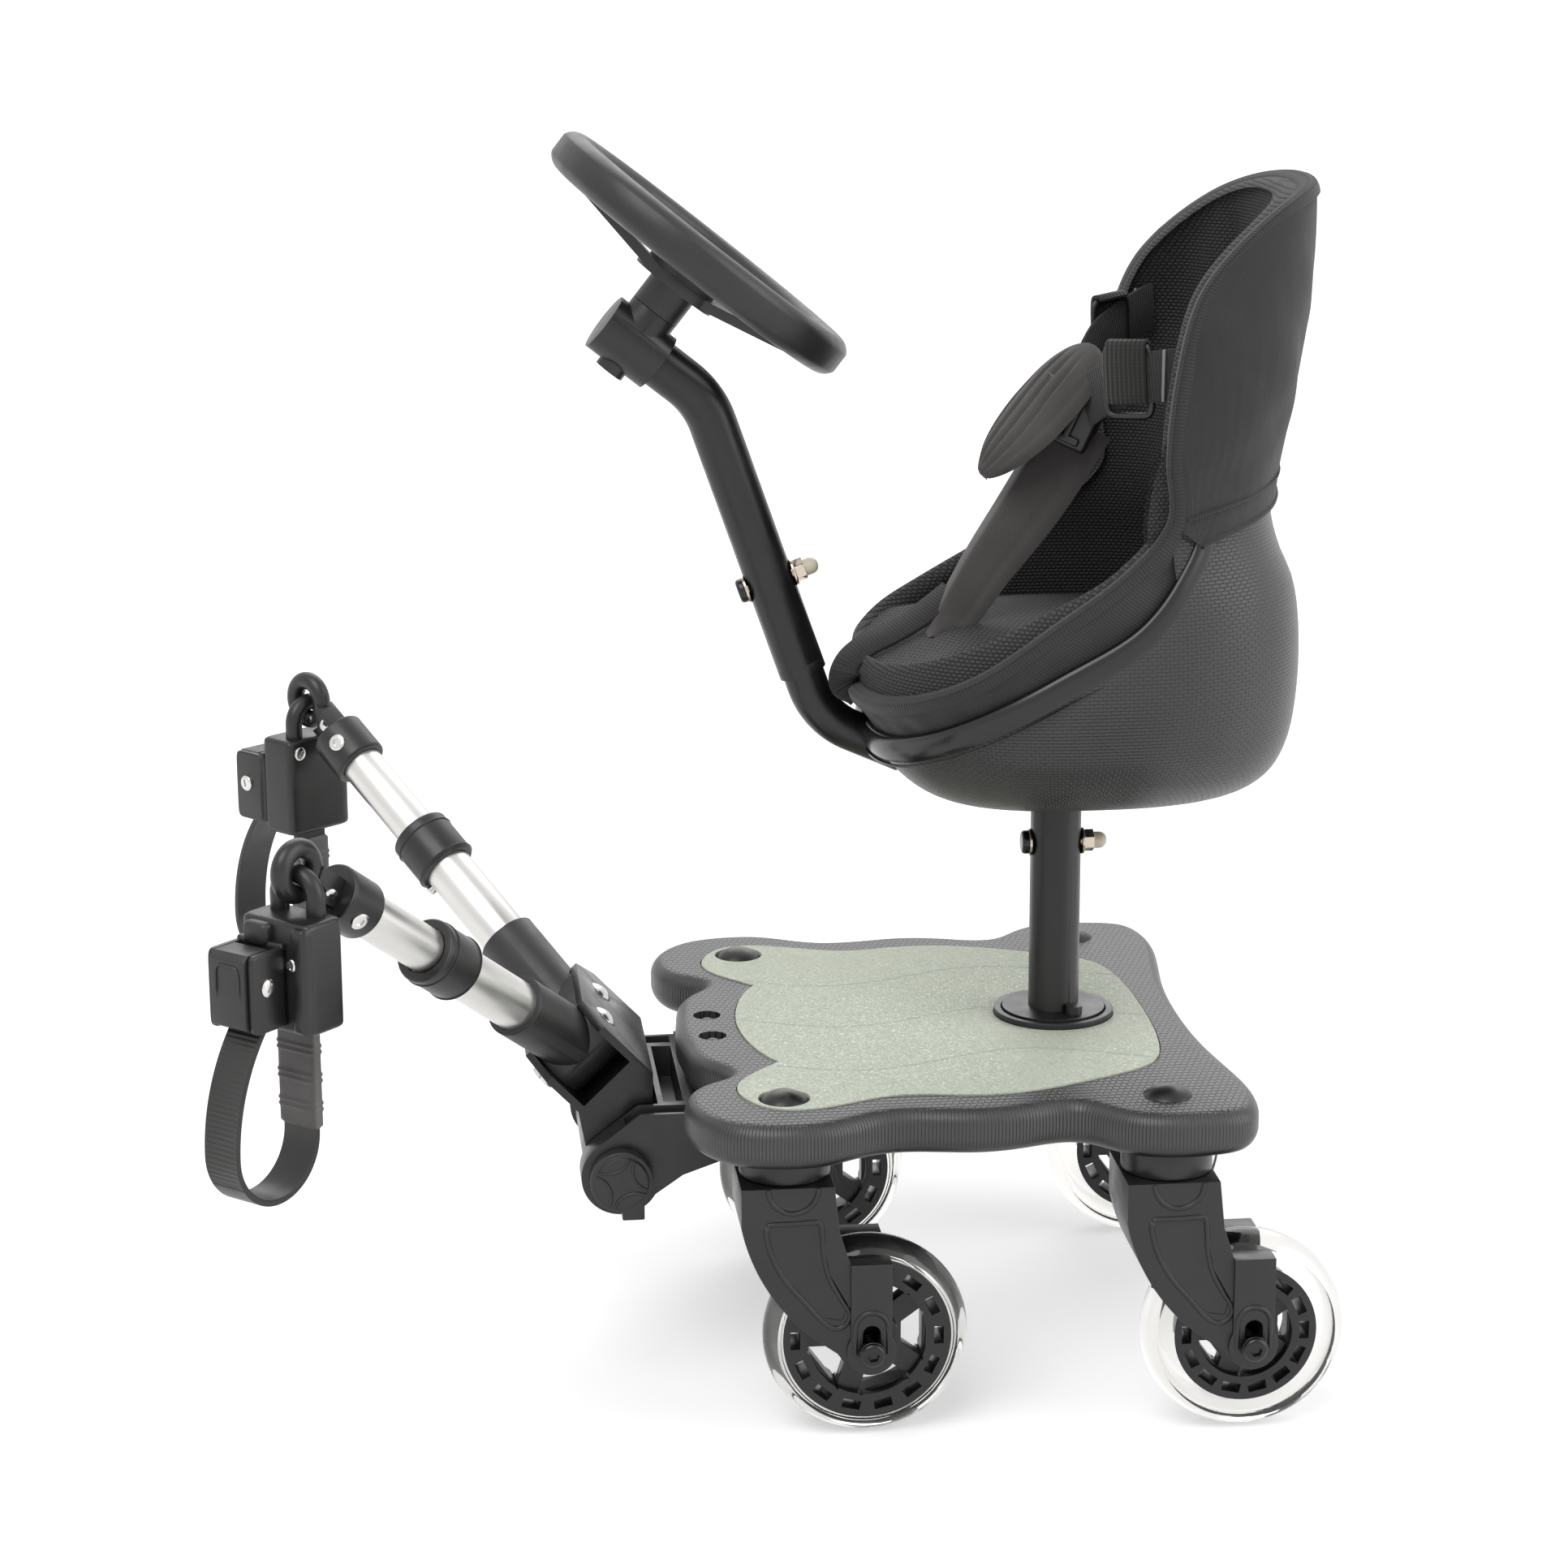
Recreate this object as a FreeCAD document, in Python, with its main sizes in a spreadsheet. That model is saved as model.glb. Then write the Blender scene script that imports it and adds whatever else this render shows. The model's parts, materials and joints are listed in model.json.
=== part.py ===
"""Buggy board with a bucket seat and a steering wheel, as separate sub-parts in millimetres.

Frame: +X towards the rear, +Y towards the far side, +Z up. The floor is Z = 0, the board's
centre plane is Y = 0, and X = 0 is the middle of the whole object's length.
"""
import FreeCAD, Part
import math
import os

import Sketcher
from FreeCAD import Matrix, Placement, Rotation, Vector

# Driving dimensions: millimetres, degrees or counts. A name that ends in share is a ratio.
SIZES = {
    # Gaps between pieces
    "part_gap": 0.3,
    "running_gap": 0.05,
    "cut_overrun": 2,
    # Wheels
    "wheel_diameter": 100,
    "wheel_width": 24,
    "tyre_crown": 6.5,
    "front_hub_radius": 41,
    "rear_hub_radius": 35,
    "hub_width": 20,
    "hub_ring": 12,
    "hub_web": 9,
    "hub_boss_radius": 15.5,
    "hub_boss_length": 27,
    "spoke_count": 5,
    "spoke_width": 11,
    "window_count": 14,
    "window_length": 9,
    "window_width": 4.6,
    "bearing_radius": 11,
    "bearing_width": 7,
    "axle_radius": 4,
    "axle_head_radius": 6.4,
    "axle_head_height": 3.6,
    # Casters
    "front_stem_x": -1.5,
    "wheelbase": 183,
    "front_half_track": 116,
    "rear_half_track": 130,
    "caster_trail": 39,
    "suspension_travel": 9,
    "fork_gap": 28,
    "fork_leg": 10,
    "fork_front": 23,
    "fork_rear": 21.5,
    "crown_depth": 20,
    "fork_sweep_radius": 100,
    "heel_x": 11,
    "heel_height": 57,
    "toe_back": 8,
    "toe_drop": 7.5,
    "throat_x": 24,
    "throat_height": 110,
    "well_gap": 4.5,
    "axle_box_width": 20,
    "axle_box_top": 94.5,
    "axle_box_proud": 3,
    "axle_boss_radius": 12,
    "panel_depth": 0.8,
    "stem_radius": 6,
    "stem_rise": 16,
    "collar_radius": 22,
    "collar_height": 13,
    # Deck
    "deck_top": 170,
    "deck_thickness": 23,
    "deck_centre_x": 88,
    "deck_half_length": 137.5,
    "deck_half_width": 162,
    "deck_top_round": 8,
    "deck_bottom_round": 10,
    "pad_half_length": 109,
    "pad_half_width": 132.5,
    "pad_centre_x": 86.5,
    "pad_thickness": 2,
    "pad_recess": 1.3,
    "pad_border": 0.7,
    "cap_radius": 12,
    "cap_height": 5,
    "cap_hole_radius": 12.5,
    "lobe_bolt_x": -27,
    "lobe_bolt_half_spacing": 16.5,
    "lobe_bolt_radius": 3,
    "lobe_head_radius": 5.2,
    "lobe_head_height": 3.2,
    "lobe_recess_radius": 7,
    "lobe_recess_depth": 4.5,
    # Seat socket and post
    "post_x": 149,
    "post_radius": 12.75,
    "post_bore": 10.8,
    "post_bore_floor": 196,
    "spigot_radius": 13,
    "spigot_depth": 34,
    "base_disc_radius": 26,
    "base_disc_height": 3,
    "base_button_radius": 4.2,
    "base_button_height": 7,
    "base_button_angle": -62,
    "socket_ring_radius": 30.3,
    "socket_ring_height": 3.6,
    "socket_recess_radius": 26.6,
    "socket_recess_depth": 2.4,
    "socket_barrel_radius": 20,
    "socket_floor": 3,
    # Cross bolts of the post and of the steering stem
    "bolt_radius": 3,
    "bolt_head_radius": 6,
    "bolt_head_height": 3.6,
    "washer_radius": 6.8,
    "washer_height": 1.3,
    "nut_across": 10,
    "nut_height": 5,
    "bolt_cap_radius": 4.2,
    "bolt_cap_height": 7,
    "post_bolt_z": 261,
    "stem_bolt_rise": 44,
    # Hitch
    "pivot_x": -76.7,
    "pivot_z": 113.7,
    "pivot_radius": 5,
    "ear_radius": 19.5,
    "cheek_inner_y": 46,
    "cheek_width": 16,
    "cheek_wall": 2.6,
    "cheek_pocket_depth": 11,
    "cheek_top_z": 145.5,
    "beam_front_x": -57,
    "beam_rear_x": -41,
    "beam_wall": 3,
    "beam_pocket_depth": 17,
    "tongue_rear_x": 22,
    "keel_x": -46,
    "keel_z": 113.5,
    "keel_rear_x": -26,
    "keel_rear_z": 120.5,
    "tongue_height": 7,
    "knob_radius": 15.5,
    "knob_height": 9,
    "knob_grip_width": 13,
    "knob_tab_reach": 20,
    "knob_tab_width": 11,
    "knob_groove": 1.4,
    # Yoke, in its own tilted frame with the pivot at its origin
    "hitch_tilt": 46,
    "yoke_hub_radius": 17,
    "yoke_back": 17.7,
    "yoke_half_width": 44,
    "yoke_waist_half_width": 30,
    "yoke_block_reach": 34,
    "swivel_reach": 52.8,
    "swivel_half_spacing": 20,
    "arm_plane_rise": 25.6,
    "plate_thickness": 4,
    "plate_reach": 70,
    "plate_corner": 16,
    "swivel_bolt_radius": 4,
    "swivel_head_radius": 6.5,
    "swivel_head_height": 2.4,
    # Arms, in their own frame along each arm from its swivel bolt
    "arm_splay": 38,
    "socket_thickness": 31.4,
    "socket_base_radius": 17.5,
    "socket_radius": 15.6,
    "socket_front": 58,
    "socket_bore_depth": 36,
    "outer_tube_radius": 12.6,
    "inner_tube_radius": 11,
    "tube_wall": 1.5,
    "outer_tube_end": 134,
    "collar_length": 26,
    "tube_collar_radius": 16,
    "collar_lip": 3,
    "inner_tube_start": 70,
    "inner_tube_end": 206,
    "telescope_step": 30,
    "button_reach": 108,
    "button_radius": 2.6,
    "button_proud": 3.4,
    "button_hole_gap": 0.4,
    "end_start": 190,
    "end_front": 213,
    "end_radius": 14.3,
    # Hook and its gate
    "eye_reach": 240,
    "eye_radius": 10.4,
    "eye_bar_radius": 4.7,
    "tongue_half_width": 5.5,
    "tongue_half_height": 7,
    "gate_angle": 202,
    "gate_gap": 9,
    "gate_length": 7.2,
    "gate_thickness": 3.4,
    "gate_width": 6,
    # Strap clamp, in a frame at the hook's eye, X outwards and Z up
    "bail_bar_radius": 4.4,
    "bail_half_span": 11,
    "bail_seat": 13,
    "clamp_top": 19,
    "clamp_height": 52,
    "clamp_front": 16,
    "clamp_back": 7.5,
    "clamp_half_width": 20.5,
    "clamp_round": 3,
    "housing_front": 38,
    "housing_top": 30,
    "housing_bottom": 67,
    "housing_width": 27.5,
    "cheek_plate": 3.4,
    "lever_pivot_x": 29,
    "lever_pivot_drop": 47,
    "lever_pin_radius": 2.5,
    "lever_back": 24,
    "lever_front": 40,
    "lever_toe": 34,
    "latch_width": 18,
    "latch_proud": 3,
    "strap_width": 20,
    "strap_thickness": 3,
    "strap_back_x": -4.5,
    "strap_front_x": 22,
    "strap_loop_radius": 26,
    "strap_loop_drop": 124,
    "strap_in": 6,
    "sleeve_top": 74,
    "sleeve_length": 49,
    "sleeve_margin": 2.2,
    # Bucket seat
    "seat_front_x": 36,
    "seat_length": 235,
    "seat_half_width": 108,
    "seat_base": 284,
    "seat_height": 311,
    "shell_wall": 3,
    "shell_stub": 39,
    "pad_depth": 12,
    "liner_gap": 0.4,
    "hood_thickness": 2.4,
    "hood_hem": 437,
    "lip_rear_x": 76,
    "cushion_top": 371,
    "cushion_floor": 332,
    # Harness
    "webbing_width": 25,
    "webbing_thickness": 2.4,
    "crotch_width": 38,
    "crotch_foot_x": 95,
    "crotch_foot_depth": 5,
    "crotch_top_x": 152,
    "crotch_top_z": 480,
    "crotch_pad_x": 138,
    "crotch_pad_z": 477,
    "crotch_pad_length": 84,
    "crotch_pad_width": 60,
    "crotch_pad_height": 15,
    "crotch_pad_tilt": 48,
    "buckle_along": 18,
    "buckle_below": 11.5,
    "buckle_length": 26,
    "buckle_width": 34,
    "buckle_height": 7,
    "waist_front_x": 160,
    "waist_front_y": 15,
    "waist_front_z": 476,
    "waist_back_x": 208,
    "waist_back_y": 73,
    "waist_back_z": 513,
    # Steering
    "steering_x": -28.5,
    "steering_z": 559.4,
    "steering_tilt": 38.5,
    "rim_diameter": 171,
    "rim_width": 16,
    "rim_height": 20,
    "steering_hub_drop": 21,
    "steering_seam_drop": 35,
    "neck_radius": 12.5,
    "hub_plate_radius": 22,
    "hub_plate_height": 5,
    "steering_spoke_width": 34,
    "horn_radius": 19,
    "horn_top": 4,
    "steering_pin_radius": 5,
    "housing_drop": 54,
    "housing_radius": 14.6,
    "housing_half_length": 16.5,
    "pin_cap_radius": 7.5,
    "pin_cap_height": 3,
    "stem_foot_x": 19.2,
    "stem_foot_z": 357,
    "stem_lean": 19.3,
    "upper_stem_radius": 11.8,
    "upper_stem_bore": 10.35,
    "upper_stem_bend": 45,
    "upper_stem_inset": 6,
    "lower_stem_radius": 10.3,
    "lower_stem_bore": 8.6,
    "lower_stem_overlap": 70,
    "lower_stem_drop": 30,
    "lower_stem_bend": 40,
    "lower_stem_run": 46,
    "lower_stem_fall": 24,
    "stem_ring_height": 5,
}

# Half outline of the deck, front to rear, as shares of its half length and half width.
DECK_SHARES = [
    (-0.962, 0.0),
    (-0.945, 0.185),
    (-0.893, 0.345),
    (-0.822, 0.447),
    (-0.915, 0.520),
    (-0.992, 0.650),
    (-0.955, 0.830),
    (-0.845, 0.930),
    (-0.700, 0.969),
    (-0.530, 0.960),
    (-0.320, 0.876),
    (-0.015, 0.895),
    (0.200, 0.868),
    (0.355, 0.846),
    (0.450, 0.920),
    (0.560, 0.985),
    (0.800, 1.0),
    (0.935, 0.957),
    (0.996, 0.820),
    (0.985, 0.600),
    (0.945, 0.350),
    (0.925, 0.0),
]
# Grip pad: the front lobe from the centre to its notch, then the ear, the side and the rear.
PAD_LOBE_SHARES = [(-0.916, 0.0), (-0.895, 0.19), (-0.840, 0.365), (-0.779, 0.468)]
PAD_SIDE_SHARES = [
    (-0.779, 0.468),
    (-0.880, 0.560),
    (-0.996, 0.730),
    (-0.960, 0.890),
    (-0.858, 0.982),
    (-0.720, 0.998),
    (-0.518, 0.943),
    (-0.307, 0.883),
    (-0.060, 0.902),
    (0.170, 0.909),
    (0.417, 0.853),
    (0.674, 0.755),
    (0.885, 0.634),
    (0.974, 0.410),
    (0.998, 0.150),
    (1.0, 0.0),
]
# Recessed panel on a fork leg, as shares of the span from its front to the axle and up to its top.
PANEL_SHARES = [
    (0.19, 0.777),
    (0.60, 0.79),
    (0.62, 0.67),
    (0.68, 0.466),
    (0.82, 0.28),
    (0.775, 0.185),
    (0.645, 0.203),
    (0.42, 0.37),
    (0.25, 0.59),
]
# Seat sections from the base up: height, front and rear as shares of the seat, half width share.
SEAT_SHARES = [
    (0.0, 0.330, 0.690, 0.200),
    (0.012, 0.250, 0.790, 0.390),
    (0.032, 0.185, 0.870, 0.574),
    (0.060, 0.135, 0.918, 0.730),
    (0.096, 0.095, 0.945, 0.856),
    (0.148, 0.060, 0.963, 0.949),
    (0.228, 0.022, 0.972, 1.0),
    (0.310, 0.010, 0.970, 0.994),
    (0.375, 0.012, 0.956, 0.977),
    (0.431, 0.030, 0.924, 0.947),
    (0.489, 0.075, 0.905, 0.914),
    (0.559, 0.165, 0.907, 0.884),
    (0.630, 0.285, 0.922, 0.855),
    (0.711, 0.391, 0.942, 0.821),
    (0.791, 0.464, 0.959, 0.775),
    (0.855, 0.519, 0.968, 0.718),
    (0.910, 0.562, 0.973, 0.650),
    (0.958, 0.603, 0.976, 0.573),
    (1.0, 0.645, 0.978, 0.480),
]
SEAT_ROUND_SHARE = 0.78
SEAT_FLOOR_SHARE = 0.2
SEAT_POINTS = 24
LOFT_DEGREE = 3
SEAT_PANELS = 4
# Where the gaps between a hub's spokes start and end, as shares of its boss and of its ring.
SPOKE_FOOT_SHARE = 0.1
SPOKE_END_SHARE = 0.0625
# Rounding of the steering rim's section, as shares of its width.
RIM_BEND_SHARE = 0.55
RIM_DOME_SHARE = 0.32
# Side views of the shell's rim and of the liner's edge, as shares of the seat's length and height.
RIM_SHARES = [
    (-0.030, 0.125),
    (0.068, 0.138),
    (0.230, 0.203),
    (0.396, 0.273),
    (0.562, 0.344),
    (0.660, 0.431),
    (0.698, 0.502),
    (0.711, 0.630),
    (0.757, 0.743),
    (0.843, 0.849),
    (0.928, 0.926),
    (1.060, 0.975),
]
EDGE_SHARES = [
    (-0.040, 0.190),
    (0.060, 0.205),
    (0.230, 0.262),
    (0.396, 0.350),
    (0.540, 0.425),
    (0.634, 0.502),
    (0.632, 0.601),
    (0.651, 0.714),
    (0.689, 0.817),
    (0.749, 0.881),
    (0.851, 0.945),
    (0.945, 0.981),
    (1.060, 1.006),
]

doc = FreeCAD.newDocument("buggy_board")
sheet = doc.addObject("Spreadsheet::Sheet", "Sizes")
for row, (alias, number) in enumerate(SIZES.items(), start=1):
    sheet.set(f"A{row}", alias)
    sheet.set(f"B{row}", str(number))
    sheet.setAlias(f"B{row}", alias)
doc.recompute()


class Size:
    """A number together with the sheet expression that gives it."""

    def __init__(self, value, text=None):
        self.value = float(value)
        self.text = text or f"({self.value!r})"

    def __float__(self):
        return self.value

    def __add__(self, other):
        other = term(other)
        return Size(self.value + other.value, f"({self.text} + {other.text})")

    def __sub__(self, other):
        other = term(other)
        return Size(self.value - other.value, f"({self.text} - {other.text})")

    def __mul__(self, other):
        other = term(other)
        return Size(self.value * other.value, f"({self.text} * {other.text})")

    def __truediv__(self, other):
        other = term(other)
        return Size(self.value / other.value, f"({self.text} / {other.text})")

    def __neg__(self):
        return Size(-self.value, f"(0 - {self.text})")

    __radd__ = __add__
    __rmul__ = __mul__

    def __rsub__(self, other):
        return term(other) - self


class Cells:
    """Reads the sheet by name."""

    def __getattr__(self, alias):
        return Size(sheet.get(alias), f"Sizes.{alias}")


def term(number):
    return number if isinstance(number, Size) else Size(number)


def sine(angle):
    return Size(math.sin(math.radians(angle.value)), f"sin({angle.text} * 1 deg)")


def cosine(angle):
    return Size(math.cos(math.radians(angle.value)), f"cos({angle.text} * 1 deg)")


def point(x, y, z):
    return Vector(float(x), float(y), float(z))


def frame(origin, x_axis, z_axis):
    """A placement with the given origin whose X and Z axes point along the given directions."""
    y_axis = z_axis.cross(x_axis)
    matrix = Matrix(
        x_axis.x, y_axis.x, z_axis.x, origin.x,
        x_axis.y, y_axis.y, z_axis.y, origin.y,
        x_axis.z, y_axis.z, z_axis.z, origin.z,
        0, 0, 0, 1,
    )
    return Placement(matrix)


c = Cells()
AXES = {"x": Rotation(Vector(0, 1, 0), 90), "y": Rotation(Vector(1, 0, 0), -90), "z": Rotation()}
names_used = {}
sub_parts = []


def fresh(kind, name):
    """A new document object with a name that no other object has."""
    names_used[name] = names_used.get(name, 0) + 1
    return doc.addObject(kind, f"{name}_{names_used[name]}")


def bind(obj, **values):
    for prop, value in values.items():
        obj.setExpression(prop, term(value).text)


def locate(obj, x, y, z):
    for axis, value in zip("xyz", (x, y, z)):
        obj.setExpression(f"Placement.Base.{axis}", term(value).text)


def box(name, x, y, z):
    """A box between pairs of low and high sizes."""
    obj = fresh("Part::Box", name)
    bind(obj, Length=x[1] - term(x[0]), Width=y[1] - term(y[0]), Height=z[1] - term(z[0]))
    locate(obj, x[0], y[0], z[0])
    return obj


def rod(name, axis, radius, span, at):
    """A cylinder along an axis, between a low and a high size, at its two other coordinates."""
    obj = fresh("Part::Cylinder", name)
    obj.Placement = Placement(Vector(), AXES[axis])
    bind(obj, Radius=radius, Height=span[1] - term(span[0]))
    base = list(at)
    base.insert("xyz".index(axis), span[0])
    locate(obj, *base)
    return obj


def dome(name, radius, height, at):
    """A spherical cap with the given base radius and height, standing on a point."""
    ball = (radius * radius + height * height) / (2 * height)
    share = (ball - height) / ball
    obj = fresh("Part::Sphere", name)
    bind(obj, Radius=ball)
    obj.setExpression("Angle1", f"asin({share.text})")
    locate(obj, at[0], at[1], at[2] + height - ball)
    return obj


def cut(name, base, *tools):
    obj = fresh("Part::Cut", name)
    obj.Base = base
    obj.Tool = tools[0] if len(tools) == 1 else fuse(name, *tools)
    return obj


def fuse(name, *shapes):
    obj = fresh("Part::MultiFuse", name)
    obj.Shapes = list(shapes)
    return obj


def common(name, *shapes):
    obj = fresh("Part::MultiCommon", name)
    obj.Shapes = list(shapes)
    return obj


def group(name, *shapes):
    """Separate solids that share one sub-part."""
    obj = fresh("Part::Compound", name)
    obj.Links = list(shapes)
    return obj


def mirrored(name, base):
    obj = fresh("Part::Mirroring", name)
    obj.Source = base
    obj.Normal = Vector(0, 1, 0)
    return obj


def solid(name, shape):
    """A shape that is worked out from the sheet's sizes."""
    obj = fresh("Part::Feature", name)
    obj.Shape = shape
    return obj


def rounded(name, base, radius, wanted):
    """A fillet on the edges that the test picks."""
    doc.recompute()
    obj = fresh("Part::Fillet", name)
    obj.Base = base
    edges = enumerate(base.Shape.Edges, start=1)
    obj.Edges = [(number, float(radius), float(radius)) for number, edge in edges if wanted(edge)]
    return obj


def runs_along(axis):
    """A test for straight edges along an axis."""

    def test(edge):
        if not isinstance(edge.Curve, Part.Line):
            return False
        return abs(abs(edge.Curve.Direction.dot(axis)) - 1) < 1e-6

    return test


def draw(sketch, steps):
    """A closed outline of bound points. A third size makes an arc of the edge to the next point."""
    count = len(steps)
    ends = []
    for number, step in enumerate(steps):
        start = point(step[0], step[1], 0)
        finish = point(steps[(number + 1) % count][0], steps[(number + 1) % count][1], 0)
        if len(step) == 2:
            sketch.addGeometry(Part.LineSegment(start, finish), False)
            ends.append((1, 2))
            continue
        radius = float(step[2])
        chord = finish - start
        lift = math.sqrt(radius * radius - chord.Length ** 2 / 4)
        side = Vector(-chord.y, chord.x, 0).normalize()
        middle = (start + finish) / 2 + side * lift
        first = math.atan2(start.y - middle.y, start.x - middle.x)
        last = math.atan2(finish.y - middle.y, finish.x - middle.x)
        circle = Part.Circle(middle, Vector(0, 0, 1), radius)
        sketch.addGeometry(Part.ArcOfCircle(circle, first, last), False)
        ends.append((1, 2))
        index = sketch.addConstraint(Sketcher.Constraint("Radius", number, radius))
        sketch.setExpression(f"Constraints[{index}]", term(step[2]).text)
    for number in range(count):
        following = (number + 1) % count
        join = Sketcher.Constraint("Coincident", number, ends[number][1], following, ends[following][0])
        sketch.addConstraint(join)
    for number, step in enumerate(steps):
        for kind, value in (("DistanceX", term(step[0])), ("DistanceY", term(step[1]))):
            index = sketch.addConstraint(Sketcher.Constraint(kind, -1, 1, number, 1, value.value))
            sketch.setExpression(f"Constraints[{index}]", value.text)


def prism(name, steps, span):
    """An outline in X and Z, drawn anticlockwise seen from -Y, run along Y between two sizes."""
    sketch = fresh("Sketcher::SketchObject", f"{name}_outline")
    sketch.Placement = Placement(Vector(), Rotation(Vector(1, 0, 0), 90))
    draw(sketch, steps)
    obj = fresh("Part::Extrusion", name)
    obj.Base = sketch
    obj.DirMode = "Custom"
    obj.Dir = Vector(0, 1, 0)
    obj.Solid = True
    bind(obj, LengthFwd=span[1], LengthRev=-term(span[0]))
    return obj


def turned_body(name, plane, steps):
    """A body with its outline turned about the sketch's vertical axis."""
    body = fresh("PartDesign::Body", name)
    sketch = body.newObject("Sketcher::SketchObject", f"{body.Name}_outline")
    sketch.AttachmentSupport = [(origin_feature(body, plane), "")]
    sketch.MapMode = "FlatFace"
    draw(sketch, steps)
    turn = body.newObject("PartDesign::Revolution", f"{body.Name}_turn")
    turn.Profile = sketch
    turn.ReferenceAxis = (sketch, ["V_Axis"])
    turn.Angle = 360
    return body


def origin_feature(body, role):
    return next(item for item in body.Origin.OriginFeatures if item.Role == role)


def pocket_round(body, name, steps, count):
    """A through pocket drawn on the XZ plane and repeated about the Y axis."""
    sketch = body.newObject("Sketcher::SketchObject", f"{body.Name}_{name}_outline")
    sketch.AttachmentSupport = [(origin_feature(body, "XZ_Plane"), "")]
    sketch.MapMode = "FlatFace"
    draw(sketch, steps)
    doc.recompute()
    pocket = body.newObject("PartDesign::Pocket", f"{body.Name}_{name}")
    pocket.Profile = sketch
    pocket.Type = "ThroughAll"
    pocket.Midplane = True
    pattern = body.newObject("PartDesign::PolarPattern", f"{body.Name}_{name}_round")
    pattern.Originals = [pocket]
    pattern.Axis = (origin_feature(body, "Y_Axis"), [""])
    pattern.Angle = 360
    bind(pattern, Occurrences=count)
    body.Tip = pattern
    doc.recompute()


def add(obj, label, placement=None):
    """Names a finished sub-part and puts it in its place."""
    obj.Label = label
    if placement is not None:
        obj.Placement = placement
    sub_parts.append(obj)
    return obj


def spline(points):
    curve = Part.BSplineCurve()
    curve.interpolate(points)
    return curve.toShape()


def closed_spline(points, pieces=1):
    """A smooth closed wire through points, as one edge or as equal pieces."""
    curve = Part.BSplineCurve()
    curve.interpolate(Points=points, PeriodicFlag=True)
    if pieces == 1:
        return Part.Wire([curve.toShape()])
    step = len(points) // pieces
    knots = [curve.parameter(points[number * step]) for number in range(pieces)]
    knots.append(curve.LastParameter)
    edges = []
    for low, high in zip(knots[:-1], knots[1:]):
        edges.append(curve.toShape(low, high))
    return Part.Wire(edges)


def pipe(points, bend, radius):
    """A round bar along straight runs joined by tangent arcs of one bend radius."""
    edges = []
    start = points[0]
    for number in range(1, len(points) - 1):
        before = (points[number] - points[number - 1]).normalize()
        after = (points[number + 1] - points[number]).normalize()
        half_turn = before.getAngle(after) / 2
        reach = bend * math.tan(half_turn)
        entry = points[number] - before * reach
        leave = points[number] + after * reach
        inward = (after - before).normalize()
        middle = points[number] + inward * (bend / math.cos(half_turn) - bend)
        edges.append(Part.LineSegment(start, entry).toShape())
        edges.append(Part.Arc(entry, middle, leave).toShape())
        start = leave
    edges.append(Part.LineSegment(start, points[-1]).toShape())
    path = Part.Wire(edges)
    along = (points[1] - points[0]).normalize()
    ring = Part.Wire([Part.Circle(points[0], along, radius).toShape()])
    return path.makePipeShell([ring], True, True)


WHEEL_RADIUS = c.wheel_diameter / 2
DECK_BOTTOM = c.deck_top - c.deck_thickness
FORK_TOP = DECK_BOTTOM - c.collar_height - c.part_gap
FORK_HALF = c.fork_gap / 2 + c.fork_leg
PIVOT = point(c.pivot_x, 0, c.pivot_z)
CASTERS = [
    ("front_near", c.front_stem_x, -c.front_half_track, c.front_hub_radius),
    ("front_far", c.front_stem_x, c.front_half_track, c.front_hub_radius),
    ("rear_near", c.front_stem_x + c.wheelbase, -c.rear_half_track, c.rear_hub_radius),
    ("rear_far", c.front_stem_x + c.wheelbase, c.rear_half_track, c.rear_hub_radius),
]


def make_tyre(hub_radius):
    """A tyre with a crowned tread, turned about the axle along Y."""
    half = c.wheel_width / 2
    edge = WHEEL_RADIUS - c.tyre_crown
    crown = (half * half + c.tyre_crown * c.tyre_crown) / (2 * c.tyre_crown)
    shoulder = c.hub_width / 2
    steps = [
        (hub_radius, -shoulder),
        (edge, -half, crown),
        (edge, half),
        (hub_radius, shoulder),
    ]
    return turned_body("tyre", "XY_Plane", steps)


def make_hub(hub_radius):
    """A hub with a boss, spokes and a rim ring with windows, turned about the axle along Y."""
    bore = c.bearing_radius + c.running_gap
    ring = hub_radius - c.hub_ring
    steps = [
        (bore, -c.hub_boss_length / 2),
        (c.hub_boss_radius, -c.hub_boss_length / 2),
        (c.hub_boss_radius, -c.hub_web / 2),
        (ring, -c.hub_web / 2),
        (ring, -c.hub_width / 2),
        (hub_radius, -c.hub_width / 2),
        (hub_radius, c.hub_width / 2),
        (ring, c.hub_width / 2),
        (ring, c.hub_web / 2),
        (c.hub_boss_radius, c.hub_web / 2),
        (c.hub_boss_radius, c.hub_boss_length / 2),
        (bore, c.hub_boss_length / 2),
    ]
    body = turned_body("hub", "XY_Plane", steps)
    doc.recompute()
    half_turn = Size(180) / c.spoke_count
    low = c.hub_boss_radius * (1 + SPOKE_FOOT_SHARE)
    high = ring * (1 - SPOKE_END_SHARE)
    tilt = sine(half_turn) / cosine(half_turn)
    spare = c.spoke_width / 2 / cosine(half_turn)
    gap = [
        (low, -(low * tilt - spare)),
        (high, -(high * tilt - spare)),
        (high, high * tilt - spare),
        (low, low * tilt - spare),
    ]
    pocket_round(body, "gap", gap, c.spoke_count)
    middle = hub_radius - c.hub_ring / 2
    window = [
        (middle - c.window_width / 2, -c.window_length / 2),
        (middle + c.window_width / 2, -c.window_length / 2),
        (middle + c.window_width / 2, c.window_length / 2),
        (middle - c.window_width / 2, c.window_length / 2),
    ]
    pocket_round(body, "window", window, c.window_count)
    return body


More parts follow.
